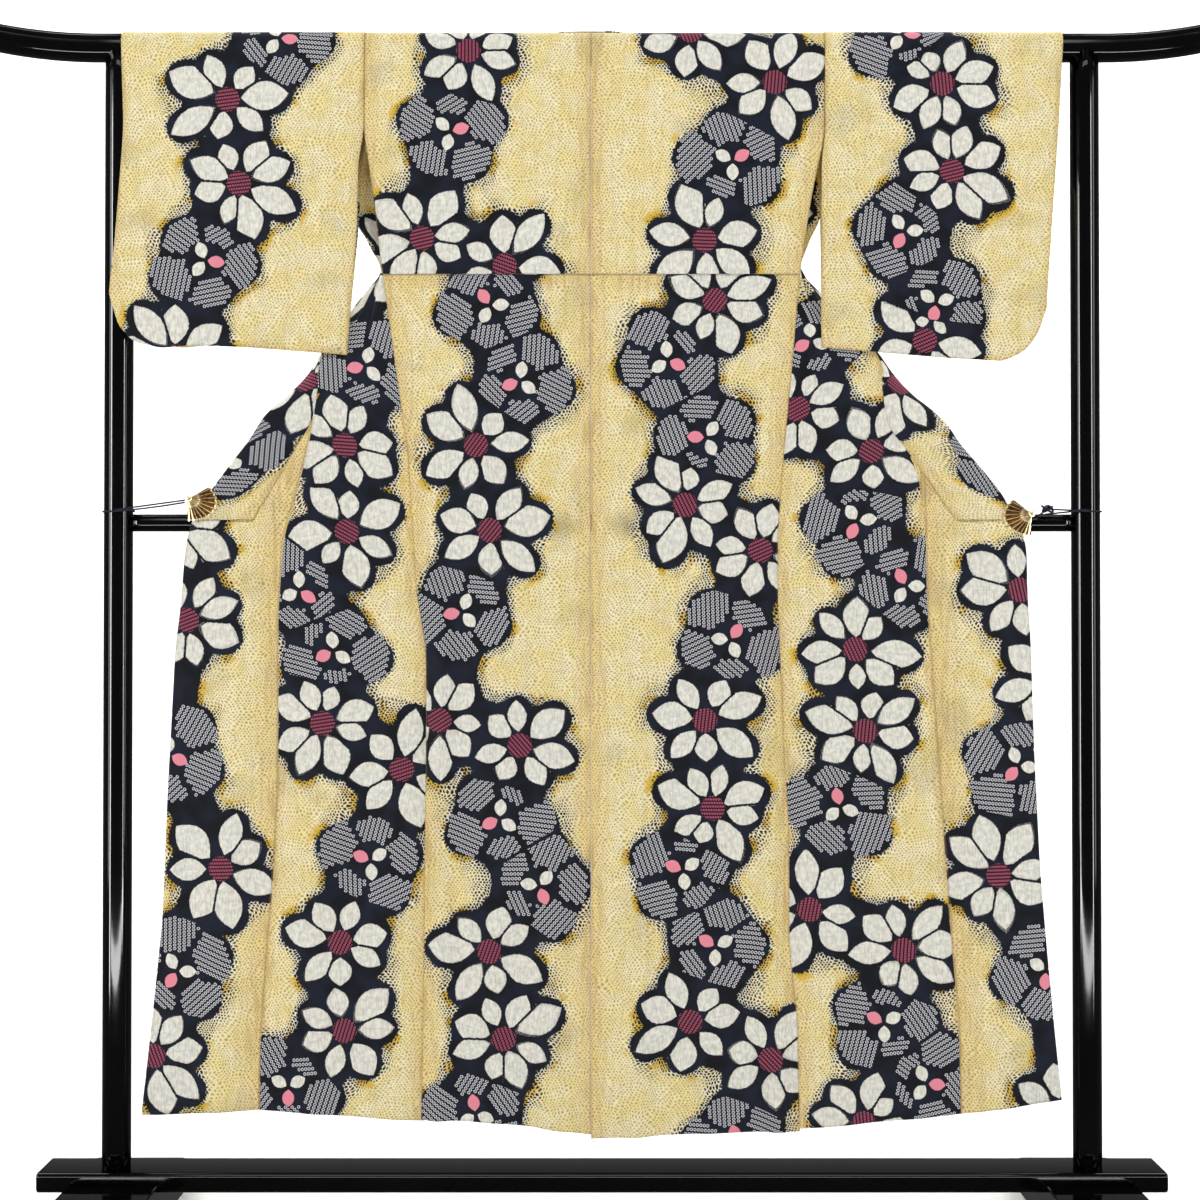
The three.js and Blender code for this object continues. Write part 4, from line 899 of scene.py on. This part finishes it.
for hand, (name, shape) in enumerate(zip(("sleeve_left", "sleeve_right"), SLEEVES)):
    sign = (-1, 1)[hand]
    share = np.linspace(0, 1, 82)[None, :]
    fall = np.linspace(1, 0, 104)[:-1, None]
    turn_angles = np.linspace(-math.pi / 2, math.pi / 2, 18)[:, None]
    knots, feet = np.array(shape["bottom"]).T
    low_cuff, low_body = [outline(shape[edge], np.array(1300)) for edge in ("cuff", "body")]
    at_foot = low_cuff * (1 - share) + low_body * share
    foot = CLOTH + np.mean([np.interp(at_foot + move, knots, feet)
                            for move in (-6, -3, 0, 3, 6)], axis=0)
    near_z = ROD_HEIGHT + (foot - ROD_HEIGHT) * fall
    over_z = ROD_HEIGHT + DRAPE * np.cos(turn_angles) + 0 * share
    far_z = near_z[::-1]
    z = np.concatenate([near_z, over_z, far_z])
    row = np.arange(len(z))[:, None]
    near_rows, far_row = len(near_z), len(near_z) + len(over_z)
    x = outline(shape["cuff"], z) * (1 - share) + outline(shape["body"], z) * share
    if shape["far_cuff"] is not None:
        past = step(near_rows + 11, near_rows + 15, row)
        cuff_x = outline(shape["cuff"], z) * (1 - past) + shape["far_cuff"] * past
        x = cuff_x * (1 - share) + outline(shape["body"], z) * share
    y = np.empty_like(x)
    y[:near_rows] = -DRAPE
    y[near_rows:far_row] = DRAPE * np.sin(turn_angles)
    back = np.interp(1 - fall[::-1], *np.array(BAG).T)
    y[far_row:] = CLOSED * (1 - back) + DRAPE * back
    # the lower cuff is sewn, so the far layer comes up to the near one there
    from_cuff = np.abs(x - x[:, :1])
    shut = step(0, 34, CUFF_OPEN + 17 - z) * (1 - step(0, 52, from_cuff))
    y = np.where(row >= far_row, y * (1 - shut) + CLOSED * shut, y)
    inner = np.stack([x, y, z], axis=-1)
    length = np.concatenate([near_z - FALL, DRAPE * turn_angles + 0 * share, FALL - far_z])
    cloth = np.stack([x, -length], axis=-1)
    near_edge = np.minimum(np.abs(x - x[:, :1]), np.abs(x - x[:, -1:]))
    above_foot = z - foot
    calm = step(0, 26, np.minimum(near_edge, above_foot)) * step(0, 60, ROD_HEIGHT - z)
    lift = crinkle(x, length, 71 + hand, calm)
    inner[..., 1] += np.where(row < near_rows, -lift, 0.5 * lift)
    shown = [(kind, mx, FALL - mz) for kind, mx, mz in shape["motifs"]]
    hidden = vine(shown[0][1], -78 if hand else -88, -470, 4 + hand)
    edges = 3 + 2 * np.minimum(near_edge, np.maximum(above_foot, 0))
    sew(name, inner, cloth, shown + hidden, edges, side=-sign,
        seed=75 + hand)

# Kimono stand: a long rod with raised ends on two posts, a thin crossbar low between the posts, a
# beam across two feet. Turned and planed wood under many coats of black lacquer, polished.

POST_X = 712
lacquer = new_material("black_lacquer_polished", Base_Color="#060607", Roughness=0.1,
                       Specular_IOR_Level=0.2)
place = add(lacquer, "TexCoord", out=3)
haze = add(lacquer, "TexNoise", place, None, 9.0, 4.0)
wave = add(lacquer, "TexNoise", place, None, 26.0, 2.0)
finish(lacquer, Base_Color=add(lacquer, "MixRGB", haze, "#020203", "#060608"),
       Roughness=add(lacquer, "MapRange", haze, 0.35, 0.7, 0.05, 0.12),
       Normal=add(lacquer, "Bump", 0.06, 0.001, None, wave))


def stand_for(piece, name):
    """Turns a closed mesh's faces out, by the sign of its volume, and puts it in its solid's
    place."""
    mesh = piece.data
    mesh.calc_loop_triangles()
    corners = np.array([t.vertices[:] for t in mesh.loop_triangles])
    points = np.empty(len(mesh.vertices) * 3)
    mesh.vertices.foreach_get("co", points)
    a, b, c = points.reshape(-1, 3)[corners].transpose(1, 0, 2)
    if np.sum(a * np.cross(b, c)) < 0:
        mesh.flip_normals()
    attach(piece, "root")
    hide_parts(name)


def drawn(name, centres, sections, material=lacquer):
    """A solid of rings: sections holds each ring's points round its centre, from end to end, and
    each end is closed by a fan of faces round its own middle."""
    rings = centres[:, None, :] + sections
    count, around = rings.shape[:2]
    points = np.concatenate([rings.reshape(-1, 3), rings[[0, -1]].mean(axis=1)])
    index = np.arange(around)
    after = np.roll(index, -1)
    last, hub = (count - 1) * around, count * around + 0 * index
    faces = grid_faces(count, around, around=True).tolist()
    faces += np.stack([after, index, hub], axis=1).tolist()
    faces += np.stack([last + index, last + after, hub + 1], axis=1).tolist()
    stand_for(new_mesh(name, points, faces, material), name)


def round_section(radius, around, axis):
    """Points on a circle about the origin, in the plane across axis 0 (X) or 2 (Z)."""
    angle = np.linspace(0, 2 * math.pi, around, endpoint=False)
    ring = np.zeros((around, 3))
    ring[:, (1, 0)[axis == 2]] = radius * np.cos(angle)
    ring[:, (2, 1)[axis == 2]] = radius * np.sin(angle)
    return ring


def rounded_run(half, rounding, inset, steps, count):
    """Places along a bar from -half to half: steps of a quarter circle at each end, count between,
    and the rounding's own share from 1 at an end's tip to 0 where the bar is full."""
    quarter = np.linspace(0, math.pi / 2, steps)
    tip = -half + rounding * (1 - np.cos(quarter))
    x = np.concatenate([tip, np.linspace(inset - half, half - inset, count), -tip[::-1]])
    share = np.zeros_like(x)
    share[:steps] = 1 - np.sin(quarter)
    return x, share + share[::-1]


# Rod, with rounded ends that rise
x, tipped = rounded_run(940, 6, 10, 7, 180)
shrink = 1 - 6 / ROD_RADIUS * tipped
rise = ROD_HEIGHT + 26 * (np.maximum(0, np.abs(x) - 740) / 200) ** 2
drawn("rod", np.stack([x, 0 * x, rise], axis=1),
      shrink[:, None, None] * round_section(ROD_RADIUS, 56, 0)[None])

# Posts, hollowed at the top for the rod
POST_FOOT = 80.3
HOLLOW = 21.5  # radius of a hollow that fits the rod or a post
ring = round_section(21, 56, 2)
levels = np.linspace(0, 1, 60)[:, None]
heights = POST_FOOT + (ROD_HEIGHT - np.sqrt(HOLLOW ** 2 - ring[:, 1] ** 2) - POST_FOOT) * levels
sections = np.stack(np.broadcast_arrays(ring[:, 0], ring[:, 1], heights), axis=-1)
for name, middle in (("post_left", -POST_X), ("post_right", POST_X)):
    drawn(name, np.tile([middle, 0, 0], (60, 1)), sections)

# Crossbar, hollowed at its ends for the posts
ring = round_section(12.75, 40, 0)
ends = POST_X - np.sqrt(HOLLOW ** 2 - ring[:, 1] ** 2)
sides = np.linspace(-1, 1, 80)[:, None]
sections = np.stack(np.broadcast_arrays(ends * sides, ring[:, 1], ring[:, 2]), axis=-1)
drawn("crossbar", np.tile([0, 0, 1028], (80, 1)), sections)

# Beam, its long edges and its ends rounded
BEAM_MIDDLE = np.array([21, 65.5])
BEAM_HALF = np.array([45, 14.5])
corner = np.radians(np.linspace(0, 90, 7))
quarter = np.stack([np.cos(corner), np.sin(corner)], axis=1)
arcs = [quarter, quarter[:, ::-1] * [-1, 1], quarter * -1, quarter[:, ::-1] * [1, -1]]
corners = [(39, 8.5), (-39, 8.5), (-39, -8.5), (39, -8.5)]
profile = np.concatenate([np.array(at) + 6 * arc for at, arc in zip(corners, arcs)])
x, tipped = rounded_run(824, 3, 4, 6, 60)
scale = 1 - 3 * tipped[:, None, None] / BEAM_HALF
sections = np.pad(profile * scale, ((0, 0), (0, 0), (1, 0)))
drawn("base_beam", np.stack([x, *(BEAM_MIDDLE[:, None] + 0 * x)], axis=1), sections)

# Feet, sloped to the nose at both ends and notched for the beam
bow = np.linspace(0, 1, 12)[1:, None]
slope = (1 - bow) ** 2 * [210, 24] + 2 * bow * (1 - bow) * [192, 54] + bow ** 2 * [120, 62]
line = np.concatenate([[[-210, 0], [210, 0], [210, 24]], slope,
                       [[66.3, 62], [66.3, 50.7], [-24.3, 50.7], [-24.3, 62]],
                       slope[::-1] * [-1, 1], [[-210, 24]]])
count = len(line)
index = np.arange(count)
after = np.roll(index, -1)
faces = np.stack([index, after, after + count, index + count], axis=1).tolist()
faces += [index.tolist()[::-1], (index + count).tolist()]
for name, middle in (("foot_left", -POST_X), ("foot_right", POST_X)):
    both = np.stack([np.pad(line, ((0, 0), (1, 0)), constant_values=middle + side * 66)
                     for side in (-1, 1)])
    foot = new_mesh(name, both, faces, lacquer)
    soften = foot.modifiers.new("rounded_edges", "BEVEL")
    soften.width = 0.0025
    soften.segments = 3
    soften.limit_method = "ANGLE"
    soften.angle_limit = math.radians(50)
    foot.data.set_sharp_from_angle(angle=math.radians(40))
    stand_for(foot, name)

# Clips: pleated fans of thin sheet brass that grip the collar's ends, each with a round hub at the
# edge. Their threads, dark and twisted, go once round the post and back.

brass = new_material("sheet_brass_painted_light", Base_Color="#B58B3E", Metallic=1.0, Roughness=0.3)
# the crest attribute carries painted highlights on the pleats and painted shade in their grooves
painted_pleat_light = add(brass, "Attribute", out=2, attribute_name="crest")
cloudy = add(brass, "TexNoise", add(brass, "TexCoord", out=3), None, 260.0, 3.0)
finish(brass, Base_Color=add(brass, "MixRGB", add(brass, "MapRange", cloudy, 0.4, 0.7, 0.0, 0.4),
                             add(brass, "MixRGB", painted_pleat_light, "#5C3C16", "#FFEFC0"), "#8A6428"),
       Roughness=add(brass, "MapRange", cloudy, 0.3, 0.7, 0.22, 0.42))
twist = new_material("purple_twisted_thread", Base_Color="#100D24", Roughness=0.8,
                     Specular_IOR_Level=0.2)
ply = add(twist, "TexWave", add(twist, "TexCoord", out=3), 420.0, 2.0, None, None, None,
          bands_direction="DIAGONAL")
finish(twist, Base_Color=add(twist, "MixRGB", ply, "#0B0918", "#1A1734"),
       Normal=add(twist, "Bump", 0.5, 0.0003, None, ply))

FAN_RADIUS = 38
FAN_SPREAD = 126
PLEATS = 11
JAW_NEAR = WING - BAND - 0.3
# distances from the hub at which the fan is worked out, close together where it is embossed
FAN_RINGS = [3, 6, 9, 11, 12.4, 14, 15.6, 18, 22, 26, 30, 33, 35.5, 36.6, 38]

for side, (hub_x, hub_z, turn) in CLIPS.items():
    sign = -1 if side == "left" else 1
    sweep_shares = np.linspace(0, 1, PLEATS * 16 + 1)[None, :]
    out = np.array(FAN_RINGS)[:, None]
    from_axis = FAN_SPREAD * (sweep_shares - 0.5)
    fan_angle = np.radians(turn + from_axis)
    crest = 1 - np.abs(2 * ((sweep_shares * PLEATS) % 1) - 1)
    longest = np.exp(-(-sign * from_axis / 42 - 0.4) ** 2)
    scallop = (0.86 + 0.28 * longest) * (1 - 0.06 * (1 - crest) * (out > 30))
    y = JAW_NEAR - 2.0 - 1.4 * (crest * 2 - 1) * out / FAN_RADIUS
    fan = np.stack([hub_x + out * scallop * np.cos(fan_angle), y,
                    hub_z + out * scallop * np.sin(fan_angle)], axis=-1)
    fan_points = np.stack([fan, fan + [0, 0.7, 0]]).reshape(-1, 3)
    fan_faces = wall_faces(*fan.shape[:2])[:, ::-1].tolist()
    # painted light: brown as painted shade in the grooves; painted highlights on the ribs, the
    # inner arc and the last two pleats, and pale along the rim
    last = step(0.8, 0.86, sweep_shares if sign > 0 else 1 - sweep_shares)
    painted_highlight = np.maximum(0.9 * step(0.7, 0.95, crest) * (out > 16), 0.9 * last * step(0.4, 0.7, crest))
    painted_highlight = np.maximum(painted_highlight, 0.7 * np.exp(-((out - 14.0) / 1.6) ** 2) + 0.3 * (out < 13))
    painted_highlight = np.where(out > 36.4, 1.0, painted_highlight)
    pleat_light_and_shade = np.tile(np.broadcast_to(painted_highlight, fan.shape[:2]).ravel(), 2)
    # hub: a domed button, and a short jaw behind the cloth
    dome = np.linspace(0, math.pi / 2, 8)
    front = JAW_NEAR - 3.2
    cap = np.stack([5 * np.cos(dome[1:]), front - 1.8 * np.sin(dome[1:])], axis=1)
    profile = np.concatenate([[[0.01, WING + 3.4], [5, WING + 3.4], [5, front]], cap])
    profile[-1, 0] = 0.01
    spin = np.linspace(0, 2 * math.pi, 32, endpoint=False)
    across, deep = profile.T[..., None]
    hub = np.stack(np.broadcast_arrays(hub_x + across * np.cos(spin), deep + 0 * spin,
                                       hub_z + across * np.sin(spin)), axis=-1)
    hub_faces = grid_faces(len(profile), 32, around=True).tolist()
    hub_faces += [list(range(32)), list(range(hub.size // 3 - 32, hub.size // 3))[::-1]]
    jaw = np.array([[a, b, c] for a in (0.0, 22.0) for b in (0.3, 1.9) for c in (-4.5, 4.5)])
    jaw_place = turned(jaw[:, ::2], math.radians(turn))
    jaw = np.stack([hub_x + jaw_place[:, 0], WING + jaw[:, 1], hub_z + jaw_place[:, 1]], axis=1)
    jaw_faces = [[0, 1, 3, 2], [4, 6, 7, 5], [0, 4, 5, 1], [2, 3, 7, 6], [0, 2, 6, 4], [1, 5, 7, 3]]
    parts = [(fan_points, fan_faces), (hub.reshape(-1, 3), hub_faces), (jaw, jaw_faces)]
    points, faces = [], []
    for part, part_faces in parts:
        base = sum(map(len, points))
        points.append(part)
        faces += [[corner + base for corner in face] for face in part_faces]
    points = np.concatenate(points)
    clip = new_mesh(f"clip_{side}", points, faces, brass)
    clip.data.set_sharp_from_angle(angle=math.radians(32))
    values = np.full(len(points), 0.7)
    values[:len(pleat_light_and_shade)] = pleat_light_and_shade
    clip.data.attributes.new("crest", "FLOAT", "POINT").data.foreach_set("value", values)
    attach(clip, "root")
    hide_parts(f"clip_{side}")

    # the thread, from the hub round the post and back to the hub
    start = np.array([hub_x + sign * 6.2, -21.0, hub_z - 5])
    loop = np.linspace(0, 1, 41)
    angle = 2 * math.pi * (loop - 0.25)
    turn_line = np.stack([sign * (POST_X + 22.7 * np.cos(angle)), 22.7 * np.sin(angle),
                          1044 + 2.2 * loop], axis=1)
    away = np.linspace(0, 1, 14)[:-1, None]
    out_line = start * (1 - away) + turn_line[0] * away
    out_line[:, 2] -= 1.2 * np.sin(math.pi * away[:, 0])
    end = start + [0, 0, 3.2]
    back_line = turn_line[-1] + (end - turn_line[-1]) * np.linspace(0, 1, 14)[1:, None]
    if side == "right":
        # spare thread wound up to a small loose knot
        wind = np.linspace(0, 11 * math.pi, 150)
        grow = np.sin(wind / 11)
        knot = np.stack([652 + 8.5 * np.cos(wind) * grow, -20 + 3.6 * np.sin(1.7 * wind),
                         1047.5 + 5.0 * np.sin(wind * 1.31) * grow], axis=1)
        out_line = np.concatenate([
            start + (knot[0] - start) * np.linspace(0, 1, 7)[:-1, None], knot,
            knot[-1] + (turn_line[0] - knot[-1]) * np.linspace(0, 1, 9)[1:-1, None]])
    line = np.concatenate([out_line, turn_line, back_line])
    along = np.gradient(line, axis=0)
    along /= np.linalg.norm(along, axis=1, keepdims=True)
    level_side = np.cross(along, [0, 0, 1.0])
    level_side /= np.linalg.norm(level_side, axis=1, keepdims=True)
    upward = np.cross(level_side, along)
    spin = np.linspace(0, 2 * math.pi, 12, endpoint=False)[None, :, None]
    sections = 1.2 * (level_side[:, None] * np.cos(spin) + upward[:, None] * np.sin(spin))
    drawn(f"thread_{side}", line, sections, twist)
